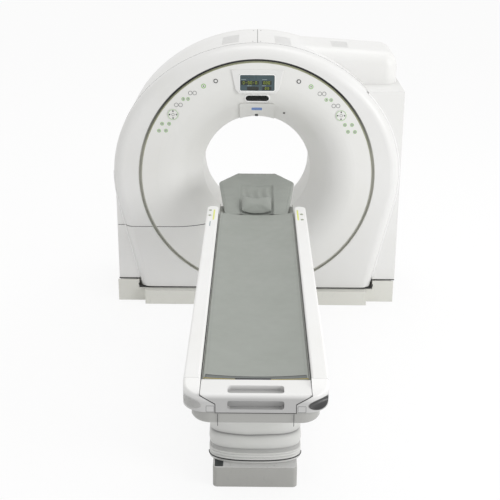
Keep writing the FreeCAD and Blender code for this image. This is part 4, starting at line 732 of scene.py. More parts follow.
def inflated(piece, voxel, pressure, cap):
    """Fills a pad by cloth simulation: an even mesh, air pressure and no gravity for twenty
    frames. No point moves further than the cap."""
    mesh = piece.data
    for each in bpy.context.selected_objects:
        each.select_set(False)
    bpy.context.view_layer.objects.active = piece
    piece.select_set(True)
    mesh.remesh_voxel_size = voxel
    bpy.ops.object.voxel_remesh()
    start = np.empty(len(mesh.vertices) * 3)
    mesh.vertices.foreach_get("co", start)
    cloth = piece.modifiers.new("cloth", "CLOTH")
    cloth.settings.use_pressure = True
    cloth.settings.uniform_pressure_force = pressure
    cloth.settings.effector_weights.gravity = 0
    cloth.settings.quality = 5
    for number in range(1, 21):
        bpy.context.scene.frame_set(number)
    solved = piece.evaluated_get(bpy.context.evaluated_depsgraph_get()).to_mesh()
    moved = np.empty(len(solved.vertices) * 3)
    solved.vertices.foreach_get("co", moved)
    piece.modifiers.clear()
    bpy.context.scene.frame_set(1)
    step = (moved - start).reshape(-1, 3)
    size = np.linalg.norm(step, axis=1)[:, None]
    step *= np.minimum(1, cap / np.maximum(size, 1e-9))
    mesh.vertices.foreach_set("co", (start.reshape(-1, 3) + step).ravel())
    mesh.polygons.foreach_set("use_smooth", np.full(len(mesh.polygons), True))
    mesh.update()


# ---------------------------------------------------------------- operators
class SCANNER_OT_finishes(Operator):
    """Gives every sub-part of the scanner its finish"""

    bl_idname = "scanner.finishes"
    bl_label = "Apply finishes"

    def execute(self, context):
        make_materials()
        for finish, nodes in NODE_FINISH.items():
            for name in nodes:
                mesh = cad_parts[name].data
                mesh.materials.clear()
                mesh.materials.append(MATERIALS[finish])
        return {"FINISHED"}


# The mattress's thickness, and how far its middle hangs below its sides.
PAD_THICK = 0.024
PAD_SAG = 0.018


def pad_surface(x, y):
    """The mattress's top: the cradle's sag, which is less near the foot end, and long low
    waves that die out at the sides."""
    low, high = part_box("mattress")
    share = np.clip(np.abs(x) / high.x, 0, 1)
    ripple = 0.0007 * np.sin(y * 9.0) * np.cos(x * 11.0) * np.clip((1 - share) * high.x / 0.05, 0, 1)
    sag = PAD_SAG * (1 - 0.55 * np.exp(-((y - low.y) / 0.055) ** 2))
    return high.z - 0.0008 - sag * (1 - share ** 2) + ripple


def pad_strip(near, far, left, right, lift):
    """A thin strip on the mattress's top: a low arch in section, which follows the top and
    falls with it over the rounded end."""
    share = np.array([0, 0, 0.25, 0.75, 1, 1])
    height = np.array([-1.0, 0.6, 1.0, 1.0, 0.6, -1.0]) * lift
    x, y = np.meshgrid(np.linspace(left, right, 49), near + (far - near) * share, indexing="ij")
    drop = 0.009 * np.clip((-3.226 - y) / 0.009, 0, 1) ** 2
    grid = np.stack([x, y, pad_surface(x, y) - drop + height[None]], axis=-1)
    ends = grid.mean(axis=1, keepdims=True)[[0, -1]] + np.zeros((2, grid.shape[1], 3))
    grid = np.concatenate([ends[:1], grid, ends[1:]])
    return grid, grid_faces(*grid.shape[:2], wrap_columns=True)


# The strips at the mattress's foot end: material, near and far edge, left and right end, rise.
PAD_STRIPS = {
    "pad_end_band": ("edge", -3.232, -3.200, -0.221, 0.221, 0.0005),
    "pad_end_stitch": ("seal", -3.1995, -3.1940, -0.219, 0.219, 0.0005),
    "pad_end_line": ("brown", -3.2345, -3.2265, -0.226, 0.226, 0.0010),
    # The dark strip on the end is painted shadow, for the gap under the cradle's end.
    "pad_end_shadow_strip": ("dark", -3.2330, -3.2170, -0.090, 0.065, 0.0016),
}


class SCANNER_OT_mattress(Operator):
    """Makes the long mattress that lies in the cradle"""

    bl_idname = "scanner.mattress"
    bl_label = "Mattress"

    def execute(self, context):
        low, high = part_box("mattress")
        edge = sizes().pad_edge
        half, reach = high.x, (high.y - low.y) / 2
        u, v = np.meshgrid(spread(81), spread(221, 3.5), indexing="xy")
        x = half * u
        y = (low.y + high.y) / 2 + reach * v + 0.014 * np.clip(v, 0, 1) ** 8
        side, end = half * (1 - np.abs(u)), reach * (1 - np.abs(v))
        full = edge_rise(side, edge) * edge_rise(end, edge)
        surface = pad_surface(x, y)
        middle = surface - PAD_THICK / 2
        rim = np.minimum(side, end)
        seam = np.exp(-((rim - 0.015) / 0.0016) ** 2)
        stitch = np.exp(-((rim - 0.019) / 0.0010) ** 2) * (0.5 + 0.5 * np.sin((x + y) * 900))
        top_z = middle + PAD_THICK / 2 * full - 0.0005 * seam - 0.0002 * stitch
        top = np.stack([x, y, top_z], axis=-1)
        bottom = np.stack([x, y, middle - PAD_THICK / 2 * full * 0.98], axis=-1)
        outer = border(u.shape)
        top[outer, 2] = middle[outer]
        bottom[outer] = top[outer]
        points, faces = closed_pad(top, bottom)
        # Painted shade along the seam's groove and in the stitch dimples.
        crease_shade = np.concatenate([(0.3 * seam + 0.15 * stitch).ravel(), np.zeros(np.sum(~outer))])
        pad = new_piece("mattress_pad", [(points, faces)], "mattress", "cradle", crease_shade)
        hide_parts("mattress")

        for name, (material, *measures) in PAD_STRIPS.items():
            new_piece(name, [pad_strip(*measures)], material, "cradle")
        return {"FINISHED"}


# The head and arm board: its ends, the plane of its top, the round channel along it, the
# pocket that is pressed into it for the head, and the pillow's middle and half sizes.
BOARD_NEAR, BOARD_FAR = -0.955, -0.450
BOARD_TOP, BOARD_RISE = 0.860, 0.225
CHANNEL_RADIUS, CHANNEL_DEPTH = 0.3153, 0.018
CHANNEL_FADE = math.radians(2.2)
POCKET_HALF, POCKET_FAR = 0.104, -0.618
PILLOW_MIDDLE, PILLOW_HALF, PILLOW_REACH = -0.879, 0.100, 0.077


def board_half_width(y):
    """Half the head board's width along its length: it widens, then its far corners are cut."""
    return np.interp(y, [BOARD_NEAR, -0.57, BOARD_FAR], [0.200, 0.250, 0.125])


def board_plane(y):
    """The board's top without its channel: a plane that rises 0.225 m for each metre along."""
    return BOARD_TOP + BOARD_RISE * (y - BOARD_NEAR)


def channel_floor(x, y):
    """The board's top: its plane, less a round channel whose middle is 18 mm deep at the near
    end and whose floor rises 2.2 degrees against the plane. Also the middle's depth there."""
    depth = CHANNEL_DEPTH - math.tan(CHANNEL_FADE) * (y - BOARD_NEAR)
    arch = CHANNEL_RADIUS - np.sqrt(CHANNEL_RADIUS ** 2 - np.clip(x, -0.3, 0.3) ** 2)
    return board_plane(y) - np.clip(depth - arch, 0, None), depth


def board_skin():
    """The board's closed skin and the painted shade of its folds and seam. The top is the channel's
    floor, pressed in at the pocket, where waves stand as folds, and crowned beside it. It falls to a
    seam round the edge by a quarter circle, and the underside rises to the seam in the same way."""
    u, v = np.meshgrid(spread(101, 1.5), 0.5 + 0.5 * spread(91, 1.5), indexing="xy")
    y = BOARD_NEAR + (BOARD_FAR - BOARD_NEAR) * v
    half = board_half_width(y)
    x = half * u
    side = half * (1 - np.abs(u))
    end = (BOARD_FAR - BOARD_NEAR) * np.minimum(v, 1 - v)
    full = edge_rise(side, 0.015) * edge_rise(end, 0.013)
    y = y - 0.020 * np.clip(1 - v, 0, 1) ** 6 * np.clip((np.abs(x) - 0.100) / 0.010, 0, 1)
    surface, depth = channel_floor(x, y)
    inside = 1 / (1 + np.exp((np.abs(x) - POCKET_HALF) / 0.0028))
    before = 1 / (1 + np.exp((y - POCKET_FAR) / 0.0035))
    pocket = inside * before
    fold = np.exp(-((np.abs(x) - POCKET_HALF) / 0.0035) ** 2) * before
    fold += np.exp(-((y - POCKET_FAR) / 0.004) ** 2) * inside * 0.6
    rise_share = np.clip((y + 0.80) / 0.18, 0, 1)
    wrinkle = 0.0040 * np.sin(x * 118 + 0.8 * np.sin(y * 34)) * np.sin(rise_share * math.pi) * pocket
    across = np.clip((np.abs(x) - POCKET_HALF) / np.maximum(half - POCKET_HALF, 1e-6), 0, 1)
    crown = 0.0035 * np.sin(across * math.pi) * np.clip((half - 0.120) / 0.05, 0, 1)
    crown += 0.0030 * np.exp(-((np.abs(x) - 0.114) / 0.006) ** 2) * before
    wrinkle += 0.0005 * np.sin(y * 120 + 2 * np.sin(x * 25)) * across
    seam_line = np.exp(-((np.minimum(side, end) - 0.016) / 0.0018) ** 2)
    low = np.interp(y, [BOARD_NEAR - 0.03, BOARD_NEAR, -0.785, BOARD_FAR], [0.852, 0.853, 0.858, 0.948])
    seam = board_plane(y) * 0.45 + low * 0.55
    dip = 0.005 * pocket * np.clip(depth / 0.004, 0, 1)
    shaped = surface - dip - 0.0022 * fold + crown + wrinkle - 0.0008 * seam_line - 0.0015
    seam = np.minimum(seam, shaped - 0.001)
    top = np.stack([x, y, seam + (shaped - seam) * full], axis=-1)
    bottom = np.stack([x, y, seam + (low - seam) * full], axis=-1)
    bottom[..., 2] = np.minimum(bottom[..., 2], top[..., 2] - 0.002 * full)
    outer = border(u.shape)
    top[outer, 2] = seam[outer]
    bottom[outer] = top[outer]
    # Painted shade in the pocket's folds, stronger on the right, where the wall faces away from the light,
    # and along the seam.
    dark = np.clip(0.30 * fold * (1 + 0.5 * np.sign(x)) + 0.25 * seam_line, 0, 1)
    return closed_pad(top, bottom), np.concatenate([dark.ravel(), np.zeros(np.sum(~outer))])


def pillow_skin():
    """The pillow's closed skin before it is filled: a rectangle with slightly drawn-in sides,
    fuller above its seam than below."""
    u, v = np.meshgrid(spread(41, 2.0), spread(35, 2.0), indexing="xy")
    pull = 1 - 0.05 * (u * v) ** 2
    x = PILLOW_HALF * u * pull * (1 - 0.04 * (1 - v ** 2))
    y = PILLOW_MIDDLE + PILLOW_REACH * v * pull * (1 - 0.04 * (1 - u ** 2))
    full = (1 - np.abs(u) ** 3.2) ** 0.5 * (1 - np.abs(v) ** 3.0) ** 0.5
    seam = channel_floor(x, y)[0] + 0.015
    top = np.stack([x, y, seam + 0.030 * full], axis=-1)
    bottom = np.stack([x, y, seam - 0.011 * full ** 0.5], axis=-1)
    outer = border(u.shape)
    bottom[outer] = top[outer]
    return closed_pad(top, bottom)


def kept_above_board(piece):
    """Lifts each point of a piece that lies under the channel's floor to just above it."""
    place = np.empty(len(piece.data.vertices) * 3)
    piece.data.vertices.foreach_get("co", place)
    place = place.reshape(-1, 3)
    place[:, 2] = np.maximum(place[:, 2], channel_floor(place[:, 0], place[:, 1])[0] + 0.0006)
    piece.data.vertices.foreach_set("co", place.ravel())


class SCANNER_OT_head_holder(Operator):
    """Makes the padded head and arm board and its small pillow"""

    bl_idname = "scanner.head_holder"
    bl_label = "Head holder"

    def execute(self, context):
        skin, crease_shade = board_skin()
        board = new_piece("head_board_pad", [skin], "holder", "cradle", crease_shade)
        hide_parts("head_board")

        pillow = new_piece("head_pillow_pad", [pillow_skin()], "holder", "cradle")
        inflated(pillow, 0.005, 4, 0.006)
        kept_above_board(pillow)
        smooth = pillow.modifiers.new("smooth", "SUBSURF")
        smooth.levels = smooth.render_levels = 1
        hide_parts("head_pillow")
        return {"FINISHED"}


# The bellows: the reach of its full ends, the points round one end, how far the lift goes
# down, and its lower folds, each as its bottom and its share of the full depth. The fold that
# starts at the flat height is a plain collar.
BELLOWS_END = 0.102
END_POINTS = 34
FLAT_FOLD = 0.169
LOW_FOLDS = ((0.124, 0.3), (0.140, 0.32), (0.157, 0.3), (FLAT_FOLD, 0.6), (0.186, 0.8))
HIGH_FOLDS = 0.268


def bellows_plan(inset):
    """The bellows' level outline: two straight sides and two full ends, each half of a
    superellipse of exponent 2.5, all drawn in by an inset."""
    low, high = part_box("bellows")
    half, reach = high.x - inset, BELLOWS_END - inset
    t = np.linspace(0, math.pi, END_POINTS)
    a = half * np.sign(np.cos(t)) * np.abs(np.cos(t)) ** 0.8
    b = reach * np.abs(np.sin(t)) ** 0.8
    side = np.linspace(0, 1, 30)[1:-1]
    near, far = low.y + BELLOWS_END, high.y - BELLOWS_END
    x = np.concatenate([-a, np.full(len(side), half), a, np.full(len(side), -half)])
    y = np.concatenate([near - b, near + (far - near) * side, far + b, far - (far - near) * side])
    return x, y


def bellows_section(low, high, depth):
    """The folds from bottom to top, as heights and insets: each bulges out as a flattened
    half sine between two creases."""
    folds = [(low, 0.2), *LOW_FOLDS]
    folds += [(HIGH_FOLDS + (high - HIGH_FOLDS) * share, 1.0) for share in (0, 0.25, 0.5, 0.75, 1.0)]
    heights, insets = [], []
    for (start, start_fold), (end, end_fold) in zip(folds, folds[1:]):
        step = np.linspace(0, 1, 15)[:-1]
        bulge = 0 * step if start == FLAT_FOLD else np.sin(step * math.pi) ** 0.42
        heights.append(start + (end - start) * step)
        insets.append(depth * (start_fold + (end_fold - start_fold) * step) * (1 - bulge))
    return np.concatenate([*heights, [high]]), np.concatenate([*insets, [depth]])


class SCANNER_OT_bellows(Operator):
    """Makes the folded skin round the table's lift and the cord that holds it down"""

    bl_idname = "scanner.bellows"
    bl_label = "Bellows"

    def execute(self, context):
        low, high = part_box("bellows")
        depth, skin = sizes().pleat_depth, sizes().skin
        z, fold = bellows_section(low.z, high.z, depth)
        loops, creases = [], []
        for height, amount, inner in [*zip(z, fold, 0 * z), *zip(z[::-1], fold[::-1], 1 + 0 * z)]:
            x, y = bellows_plan(amount + inner * skin)
            wave = 0.0016 * np.sin(y * 23 + height * 60) + 0.0012 * np.sin(x * 31 + height * 45)
            loose = np.clip((height - 0.2) / 0.05, 0, 1) * np.clip((high.z - height) / 0.02, 0, 1)
            loops.append(np.stack([x, y, height + wave * loose], axis=-1))
            # Painted shade: the deeper a point lies in a fold, the darker the outer skin is there.
            creases.append(np.full(len(x), (amount / depth) ** 1.5 * (1 - inner)))
        grid = np.stack(loops)
        shape = (grid, grid_faces(*grid.shape[:2], wrap_rows=True, wrap_columns=True))
        crease_shade = np.stack(creases)
        skin_piece = new_piece("bellows_skin", [shape], "bellows", "base", crease_shade)
        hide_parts("bellows")
        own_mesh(skin_piece)

        x, y = bellows_plan(-0.0015)
        near_end = np.stack([x, y, np.full(len(x), 0.1275)], axis=-1)[:END_POINTS]
        cord = tube(near_end, (0, 0, 1), 0.0027, 10)
        new_piece("bellows_clamp", [cord], "dark", "base")
        return {"FINISHED"}


# A digit's seven bars, each as its place across and up in half digits and whether it stands.
SEGMENTS = {
    "top": (0, 1, 0), "left_high": (-1, 0.5, 1), "right_high": (1, 0.5, 1), "middle": (0, 0, 0),
    "left_low": (-1, -0.5, 1), "right_low": (1, -0.5, 1), "low": (0, -1, 0),
}
DIGITS = {"0": ("top", "left_high", "right_high", "left_low", "right_low", "low"), "-": ("middle",)}
DIGIT_PITCH = 0.0165
# What lies on the display's glass: fields as left, right, low and high, labels as x, z and
# half width, and the row of marks above them as x and half width.
DISPLAY_FIELDS = (
    (-0.109, 0.0105, 1.5645, 1.591), (0.031, 0.0945, 1.565, 1.592),
    (-0.068, 0.0095, 1.5285, 1.552), (0.033, 0.094, 1.529, 1.553),
)
DISPLAY_LABELS = (
    (-0.0915, 1.5995, 0.0165), (0.0475, 1.5995, 0.0165),
    (-0.052, 1.5585, 0.015), (0.044, 1.5585, 0.0135),
)
MARK_ROW = 1.612
DISPLAY_MARKS = (
    *((-0.098 + 0.0115 * step, 0.0042) for step in range(7)),
    (-0.002, 0.0016), (0.031, 0.0016), (0.090, 0.0016),
)


def seven_segment(digits, x, z, height):
    """Digits built of slim domed bars that stand in a figure of eight, as lamps do."""
    half_width, half_height, half_bar = height * 0.25, height / 2, height * 0.045
    shapes = []
    for index, digit in enumerate(digits):
        middle = x + (index - (len(digits) - 1) / 2) * DIGIT_PITCH
        for segment in DIGITS[digit]:
            across, up, upright = SEGMENTS[segment]
            size = (half_bar, half_height * 0.42) if upright else (half_width * 0.8, half_bar)
            place = (middle + across * half_width, GLASS_Y - 0.0007, z + up * half_height)
            shapes.append(laid(dome(*size, half_bar * 0.9, 0.0003, 3), place))
    return shapes


class SCANNER_OT_display(Operator):
    """Makes the display's frame, its dark fields and its digits"""

    bl_idname = "scanner.display"
    bl_label = "Display"

    def execute(self, context):
        rim = band(rounded_loop(0.1145, 0.0525, 0.010), rounded_loop(0.1195, 0.0575, 0.014), 0.0012)
        new_piece("display_rim", [laid(rim, (0, -0.4103, 1.578))], "bright", "gantry")
        fields = [laid(dome((right - left) / 2, (high - low) / 2, 0.003, 0.0006),
                       ((left + right) / 2, GLASS_Y, (low + high) / 2))
                  for left, right, low, high in DISPLAY_FIELDS]
        new_piece("display_fields", fields, "field", "gantry")
        lit_digits = seven_segment("0-00-0", -0.049, 1.578, 0.017)
        lit_digits += seven_segment("000", 0.062, 1.5785, 0.017)
        lit_digits += seven_segment("00", 0.064, 1.541, 0.015)
        new_piece("display_digits", lit_digits, "digit", "gantry")
        dim = seven_segment("000", -0.029, 1.540, 0.015)
        new_piece("display_dim_digits", dim, "dim_digit", "gantry")
        labels = [laid(dome(half, 0.0016, 0.0012, 0.0003, 3), (x, GLASS_Y, z))
                  for x, z, half in DISPLAY_LABELS]
        new_piece("display_labels", labels, "label", "gantry")
        marks = [laid(dome(half, 0.0020, 0.0015, 0.0003, 3), (x, GLASS_Y, MARK_ROW))
                 for x, half in DISPLAY_MARKS]
        new_piece("display_marks", marks, "mark", "gantry")
        return {"FINISHED"}


# The printed keys of the right-hand group, which the left-hand group mirrors: green rings as x,
# z and radius, of which the first three have a dark spot and the rest a grey one, and pairs
# of grey rings as x and z.
GREEN_RINGS = (
    (0.356, 1.553, 0.016), (0.492, 1.465, 0.012), (0.460, 1.466, 0.012), (0.637, 1.296, 0.0125),
    (0.590, 1.296, 0.0125), (0.659, 1.248, 0.0125), (0.612, 1.249, 0.0125),
)
GREY_PAIRS = ((0.430, 1.506), (0.525, 1.425))
START_KEY = (0.275, 1.588)
PAD_KEY = (0.562, 1.360)


def dots_on_pad(x, z, distance, turns, radius, rise, sides):
    """Domed dots on a direction pad, at a distance from its centre, one at each angle."""
    dot = dome(radius, radius, radius, rise, sides)
    return [laid(dot, (x + distance * math.cos(a), KEY_FACE_Y, z + distance * math.sin(a))) for a in turns]


class SCANNER_OT_keys(Operator):
    """Makes the printed rings of the two key groups and of the travelling keys"""

    bl_idname = "scanner.keys"
    bl_label = "Keys"

    def execute(self, context):
        rise = sizes().key_rise
        for word, sign in (("left", -1), ("right", 1)):
            green = [laid(circle_band(radius, radius * 0.36, rise), (sign * x, FACE_Y, z))
                     for x, z, radius in GREEN_RINGS]
            new_piece("key_prints_green_" + word, green, "go_key", "gantry")
            grey = [laid(circle_band(0.0145, 0.0040, rise), (sign * x + beside, FACE_Y, z))
                    for x, z in GREY_PAIRS for beside in (-0.0145, 0.0145)]
            grey += [laid(dome(0.006, 0.006, 0.006, rise * 0.7), (sign * x, FACE_Y, z))
                     for x, z, _ in GREEN_RINGS[3:]]
            new_piece("key_prints_grey_" + word, grey, "grey_key", "gantry")
            spots = [laid(dome(0.0042, 0.0042, 0.0042, rise), (sign * x, FACE_Y, z))
                     for x, z, _ in GREEN_RINGS[:3]]
            new_piece("key_prints_dark_" + word, spots, "mark", "gantry")

            start = laid(circle_band(0.0145, 0.0052, rise), (sign * START_KEY[0], KEY_FACE_Y, START_KEY[1]))
            new_piece("start_key_print_" + word, [start], "mark", "start_key_" + word)

            x, z = sign * PAD_KEY[0], PAD_KEY[1]
            turns = np.linspace(0, 2 * math.pi, 29)[:-1]
            dots = dots_on_pad(x, z, 0.0335, turns, 0.0030, rise * 0.7, 3)
            new_piece("pad_key_dots_" + word, dots, "go_key", "pad_key_" + word)
            quarters = (0, math.pi / 2, math.pi, 3 * math.pi / 2)
            arrows = dots_on_pad(x, z, 0.0235, quarters, 0.0052, rise, 4)
            new_piece("pad_key_arrows_" + word, arrows, "mark", "pad_key_" + word)
            centre = laid(circle_band(0.0105, 0.0032, rise), (x, KEY_FACE_Y, z))
            new_piece("pad_key_centre_" + word, [centre], "grey_key", "pad_key_" + word)
        return {"FINISHED"}


def pill_loop(half, height):
    """A long outline with two half-round ends, about nothing, as two arrays."""
    end = height / 2
    turn = np.linspace(-math.pi / 2, math.pi / 2, 16)
    a = np.concatenate([half - end + end * np.cos(turn), end - half - end * np.cos(turn)])
    b = np.concatenate([end * np.sin(turn), -end * np.sin(turn)])
    return a, b


class SCANNER_OT_bore_fittings(Operator):
    """Makes the frame of the sensor window and the marks on the pod at the bore's lip"""

    bl_idname = "scanner.bore_fittings"
    bl_label = "Bore fittings"

    def execute(self, context):
        rim = band(pill_loop(0.0775, 0.044), pill_loop(0.0860, 0.061), 0.0052)
        new_piece("window_rim", [on_face(rim, 0, ISO + 0.5385)], "bright", "gantry")
        label = on_face(dome(0.0363, 0.0118, 0.003, 0.0012), -0.0022, ISO + 0.4535, 0.009)
        new_piece("pod_label", [label], "blue", "gantry")
        sensor = on_face(dome(0.0115, 0.0115, 0.004, 0.0012), -0.0036, ISO + 0.3900, 0.009)
        new_piece("pod_sensor", [sensor], "mark", "gantry")
        eye = on_face(dome(0.008, 0.008, 0.008, 0.0015), 0.1834, 1.3458)
        new_piece("laser_eye", [eye], "dark", "gantry")
        return {"FINISHED"}


# Heights in the covers: the service cover's top edge, where the front cover ends, where the
# seal behind it, a dark line of painted shadow, may start so that it clears the side columns at
# full tilt, and where the left and the right flank's beads, partly painted highlight, stop. Then
# the radius of the front cover's rounded rim.
DOOR_TOP = 0.5638
COVER_FOOT = 0.170
SEAL_FOOT = 0.450
HIGHLIGHT_BEAD_TOPS = ((-1, 0.957), (1, 1.512))
RIM_ROUND = 0.072
# The front cover's lower edge, from its middle out to the right, as x, y and z: the path of
# a dark skirt that is painted shadow in the gap above the plinth.
SHADOW_SKIRT_SIDE = ((0.824, -0.388, 0.1108), (0.846, -0.356, 0.1612))
ROOF_SCREWS = (
    (-0.029, 0.293, 1.8116), (0.023, 0.294, 1.8117),
    (-0.033, -0.168, 1.8115), (0.020, -0.168, 1.8117),
)


def door_line():
    """The seal along the service cover's top edge, in two parts: from the flank round the
    front cover's rim to the groove, and across the dished face."""
    drop = ISO - DOOR_TOP
    leg_x, leg_z = cover_outline(0, COVER_FOOT)
    edge = np.interp(DOOR_TOP, leg_z[:LEG_POINTS + 1], np.abs(leg_x[:LEG_POINTS + 1]))
    turn = np.linspace(math.asin(0.032 / RIM_ROUND), math.pi / 2, 9)
    outer = math.sqrt(GROOVE_OUTER ** 2 - drop ** 2)
    flat_x = [0.970, 0.960, *(edge - RIM_ROUND + RIM_ROUND * np.cos(turn)), outer + 0.012, outer + 0.002]
    flat_y = np.array([-0.350, -0.360, *(-0.328 - RIM_ROUND * np.sin(turn)), FACE_Y, FACE_Y])
    face_x = np.linspace(math.sqrt(GROOVE_INNER ** 2 - drop ** 2) - 0.002, 0.302, 40)
    face_y = face_depth(np.hypot(face_x, drop))
    return [np.stack([-np.array(x), y + 0.0010, np.full(len(x), DOOR_TOP)], axis=-1)
            for x, y in ((flat_x, flat_y), (face_x, face_y))]


class SCANNER_OT_seals(Operator):
    """Makes the seals in the covers' joints and the roof's screws, with bright flank beads as
    painted highlight and the front cover's seal and a dark skirt under it as painted shadow
    """

    bl_idname = "scanner.seals"
    bl_label = "Seals and screws"

    def execute(self, context):
        # Painted shadow: the dark seal in the front cover's joint draws the joint's thin shadow line.
        x, z = cover_outline(0.0015, SEAL_FOOT)
        seal = tube(np.stack([x, np.full(len(x), -0.2506), z], axis=-1), (0, 1, 0), sizes().seal)
        new_piece("cover_shadow_seal", [seal], "seal", "gantry")

        # Partly painted highlight: brighter beads fill the flanks' joints and stand for the highlight on
        # the cover's rounded edge.
        beads = []
        x, z = cover_outline(0.0036, COVER_FOOT)
        for sign, high in HIGHLIGHT_BEAD_TOPS:
            run = (np.sign(x) == sign) & (z < high)
            path = np.stack([x[run], np.full(run.sum(), -0.3572), z[run]], axis=-1)
            beads.append(tube(path, (0, 1, 0), 0.0047))
        new_piece("flank_highlight_beads", beads, "bright", "gantry")

        door = [tube(path, (0, 0, 1), 0.0024) for path in door_line()]
        new_piece("door_seal_left", door, "seal", "gantry")

        # Painted shadow: a dark tube along the front cover's lower edge draws the gap's shadow above the
        # plinth.
        skirt = [(-0.972, -0.356, 0.1612), *((-x, y, z) for x, y, z in SHADOW_SKIRT_SIDE[::-1])]
        skirt += [(x, -0.388, 0.1108) for x in np.linspace(-0.800, 0.800, 9)]
        skirt += [*SHADOW_SKIRT_SIDE, (0.986, -0.356, 0.1612)]
        new_piece("cover_shadow_skirt", [tube(skirt, (0, 1, 0), 0.0058)], "dark", "gantry")

        roof = np.stack([np.zeros(30), np.linspace(-0.245, 0.345, 30), np.full(30, 1.8116)], axis=-1)
        new_piece("roof_seal", [tube(roof, (1, 0, 0), 0.0016)], "seal", "gantry")
        screws = [laid(dome(0.0052, 0.0052, 0.0052, 0.0014, 4), place, *LEVEL) for place in ROOF_SCREWS]
        new_piece("roof_screws", screws, "grey_key", "gantry")
        return {"FINISHED"}


# The grip's edge on the foot's front, from its top left corner down to the middle: x and z.
GRIP_SIDE = ((0.2366, 0.871), (0.2366, 0.8625), (0.1716, 0.8225), (0.1716, 0.7806), (0, 0.7806))


class SCANNER_OT_table_marks(Operator):
    """Makes the strips on the table's rails and the small fittings of its foot and base"""

    bl_idname = "scanner.table_marks"
    bl_label = "Table marks"

    def execute(self, context):
        strips = [laid(dome(0.0045, 0.0985, 0.003, 0.0008), (x, -1.0785, RAIL_TOP), *LEVEL)
                  for x in (-0.265, 0.258)]
        new_piece("rail_strips", strips, "strip", "table_top")
        dash = laid(dome(0.0030, 0.0425, 0.002, 0.0006), (-0.283, -1.2475, RAIL_TOP), *LEVEL)
        new_piece("rail_dash", [dash], "label", "table_top")
        frame_band = band(rounded_loop(0.0162, 0.0138, 0.002), rounded_loop(0.0174, 0.0150, 0.003), 0.0005)
        outlines = [laid(frame_band, (x, FOOT_Y, 0.7990)) for x in (-0.1925, 0.1945)]
        new_piece("foot_outlines", outlines, "mark", "table_top")
        edging_y = FOOT_Y + 0.0008
        run = [(-x, edging_y, z) for x, z in GRIP_SIDE] + [(x, edging_y, z) for x, z in GRIP_SIDE[-2::-1]]
        new_piece("grip_edging", [tube(run, (0, 1, 0), 0.0018)], "dark", "table_top")
        seams = [laid(dome(0.0012, 0.0290, 0.001, 0.0006), (x, FOOT_Y, 0.747)) for x in (-0.161, 0.161)]
        new_piece("foot_seams", seams, "mark", "table_top")
        port = laid(dome(0.0215, 0.0360, 0.004, 0.0012), (-0.1815, -2.690, 0.1100), *LEVEL)
        new_piece("base_port", [port], "mark", "base")
        return {"FINISHED"}


# The camera that was fitted to the photograph: its focal length in pixels, the picture's width
# in pixels, where it stands across, and its three turns in degrees.
FOCAL_PIXELS, PICTURE_PIXELS = 1040, 500
FILM_WIDTH = 36
CAMERA_ACROSS = -0.010
CAMERA_HEADING, CAMERA_PITCH, CAMERA_ROLL = 0.269, 20.65, 0.33
# The lamps: place, aim, size and power.
LAMPS = {
    "key_light": ((6.0, -5.4, 3.2), (-0.2, -0.4, 1.0), 3.0, 205),
    "top_light": ((0.5, 1.0, 6.5), (0, -0.8, 0.8), 4.0, 80),
}


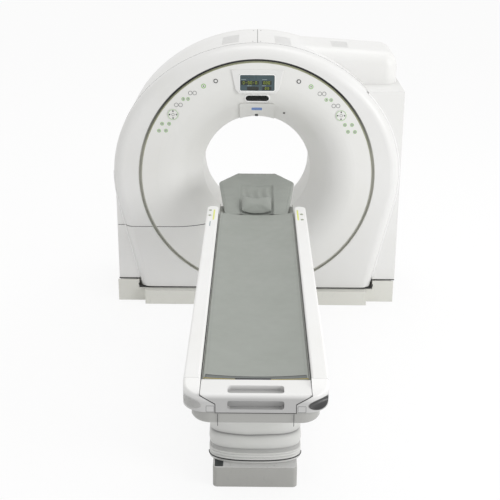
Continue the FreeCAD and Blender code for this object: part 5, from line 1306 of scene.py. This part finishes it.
class SCANNER_OT_stage(Operator):
    """Makes the floor, the lights and the camera"""

    bl_idname = "scanner.stage"
    bl_label = "Studio"

    def execute(self, context):
        scene = context.scene
        mesh = bpy.data.meshes.new("floor")
        corners = [(x, y, -0.001) for x, y in ((-30, -30), (30, -30), (30, 40), (-30, 40))]
        mesh.from_pydata(corners, [], [(0, 1, 2, 3)])
        floor = bpy.data.objects.new("floor", mesh)
        scene.collection.objects.link(floor)
        material = bpy.data.materials.new("studio floor")
        material.use_nodes = True
        tree = material.node_tree
        tree.nodes.clear()
        output = tree.nodes.new("ShaderNodeOutputMaterial")
        mix = tree.nodes.new("ShaderNodeMixShader")
        plain = tree.nodes.new("ShaderNodeBsdfDiffuse")
        plain.inputs["Color"].default_value = (0.93, 0.93, 0.93, 1)
        glow = tree.nodes.new("ShaderNodeEmission")
        glow.inputs["Color"].default_value = (1, 1, 1, 1)
        path = tree.nodes.new("ShaderNodeLightPath")
        total = tree.nodes.new("ShaderNodeMath")
        total.operation = "MAXIMUM"
        share = tree.nodes.new("ShaderNodeMath")
        share.operation = "MULTIPLY"
        share.inputs[1].default_value = 0.84
        tree.links.new(path.outputs["Is Camera Ray"], total.inputs[0])
        tree.links.new(path.outputs["Is Glossy Ray"], total.inputs[1])
        tree.links.new(total.outputs[0], share.inputs[0])
        tree.links.new(share.outputs[0], mix.inputs[0])
        tree.links.new(plain.outputs[0], mix.inputs[1])
        tree.links.new(glow.outputs[0], mix.inputs[2])
        tree.links.new(mix.outputs[0], output.inputs[0])
        mesh.materials.append(material)

        world = bpy.data.worlds.new("studio")
        scene.world = world
        world.use_nodes = True
        tree = world.node_tree
        tree.nodes.clear()
        output = tree.nodes.new("ShaderNodeOutputWorld")
        dim = tree.nodes.new("ShaderNodeBackground")
        dim.inputs["Color"].default_value = (0.975, 0.972, 0.970, 1)
        dim.inputs["Strength"].default_value = 0.86
        white = tree.nodes.new("ShaderNodeBackground")
        mix = tree.nodes.new("ShaderNodeMixShader")
        path = tree.nodes.new("ShaderNodeLightPath")
        tree.links.new(path.outputs["Is Camera Ray"], mix.inputs[0])
        tree.links.new(dim.outputs[0], mix.inputs[1])
        tree.links.new(white.outputs[0], mix.inputs[2])
        tree.links.new(mix.outputs[0], output.inputs[0])
        white.inputs["Color"].default_value = (1, 1, 1, 1)

        for name, (place, aim, size, power) in LAMPS.items():
            lamp = bpy.data.lights.new(name, "AREA")
            lamp.shape = "SQUARE"
            lamp.size = size
            lamp.energy = power
            holder = bpy.data.objects.new(name, lamp)
            holder.location = place
            holder.rotation_euler = (Vector(aim) - Vector(place)).to_track_quat("-Z", "Y").to_euler()
            scene.collection.objects.link(holder)

        lens = bpy.data.cameras.new("camera")
        lens.sensor_width = FILM_WIDTH
        lens.lens = FOCAL_PIXELS / PICTURE_PIXELS * FILM_WIDTH
        camera = bpy.data.objects.new("camera", lens)
        turn = Matrix.Rotation(math.radians(CAMERA_HEADING), 4, "Z")
        turn = turn @ Matrix.Rotation(math.radians(90 - CAMERA_PITCH), 4, "X")
        turn = turn @ Matrix.Rotation(math.radians(CAMERA_ROLL), 4, "Z")
        place = (CAMERA_ACROSS, -sizes().camera_back, sizes().camera_height)
        camera.matrix_world = Matrix.Translation(place) @ turn
        scene.collection.objects.link(camera)
        scene.camera = camera
        scene.view_settings.view_transform = "Standard"
        return {"FINISHED"}


OPERATORS = (SCANNER_OT_finishes, SCANNER_OT_mattress, SCANNER_OT_head_holder, SCANNER_OT_bellows,
             SCANNER_OT_display, SCANNER_OT_keys, SCANNER_OT_bore_fittings, SCANNER_OT_seals,
             SCANNER_OT_table_marks, SCANNER_OT_stage)


class SCANNER_PT_panel(Panel):
    """Lists the scanner's pieces in the sidebar"""

    bl_idname = "SCANNER_PT_panel"
    bl_label = "CT scanner"
    bl_space_type = "VIEW_3D"
    bl_region_type = "UI"
    bl_category = "Scanner"

    def draw(self, context):
        for operator in OPERATORS:
            self.layout.operator(operator.bl_idname)
        for group in (context.scene.scanner_sizes, context.scene.scanner_colours):
            box = self.layout.box()
            for name in group.__annotations__:
                box.prop(group, name)


CLASSES = (ScannerColours, ScannerSizes, *OPERATORS, SCANNER_PT_panel)


def register():
    """Registers the settings, the operators and the panel."""
    for each in CLASSES:
        bpy.utils.register_class(each)
    bpy.types.Scene.scanner_colours = PointerProperty(type=ScannerColours)
    bpy.types.Scene.scanner_sizes = PointerProperty(type=ScannerSizes)


def unregister():
    """Takes away what register has added."""
    del bpy.types.Scene.scanner_sizes
    del bpy.types.Scene.scanner_colours
    for each in reversed(CLASSES):
        bpy.utils.unregister_class(each)


def main():
    """Makes every piece in order."""
    register()
    for operator in OPERATORS:
        group, name = operator.bl_idname.split(".")
        getattr(getattr(bpy.ops, group), name)()


if __name__ == "__main__":
    main()
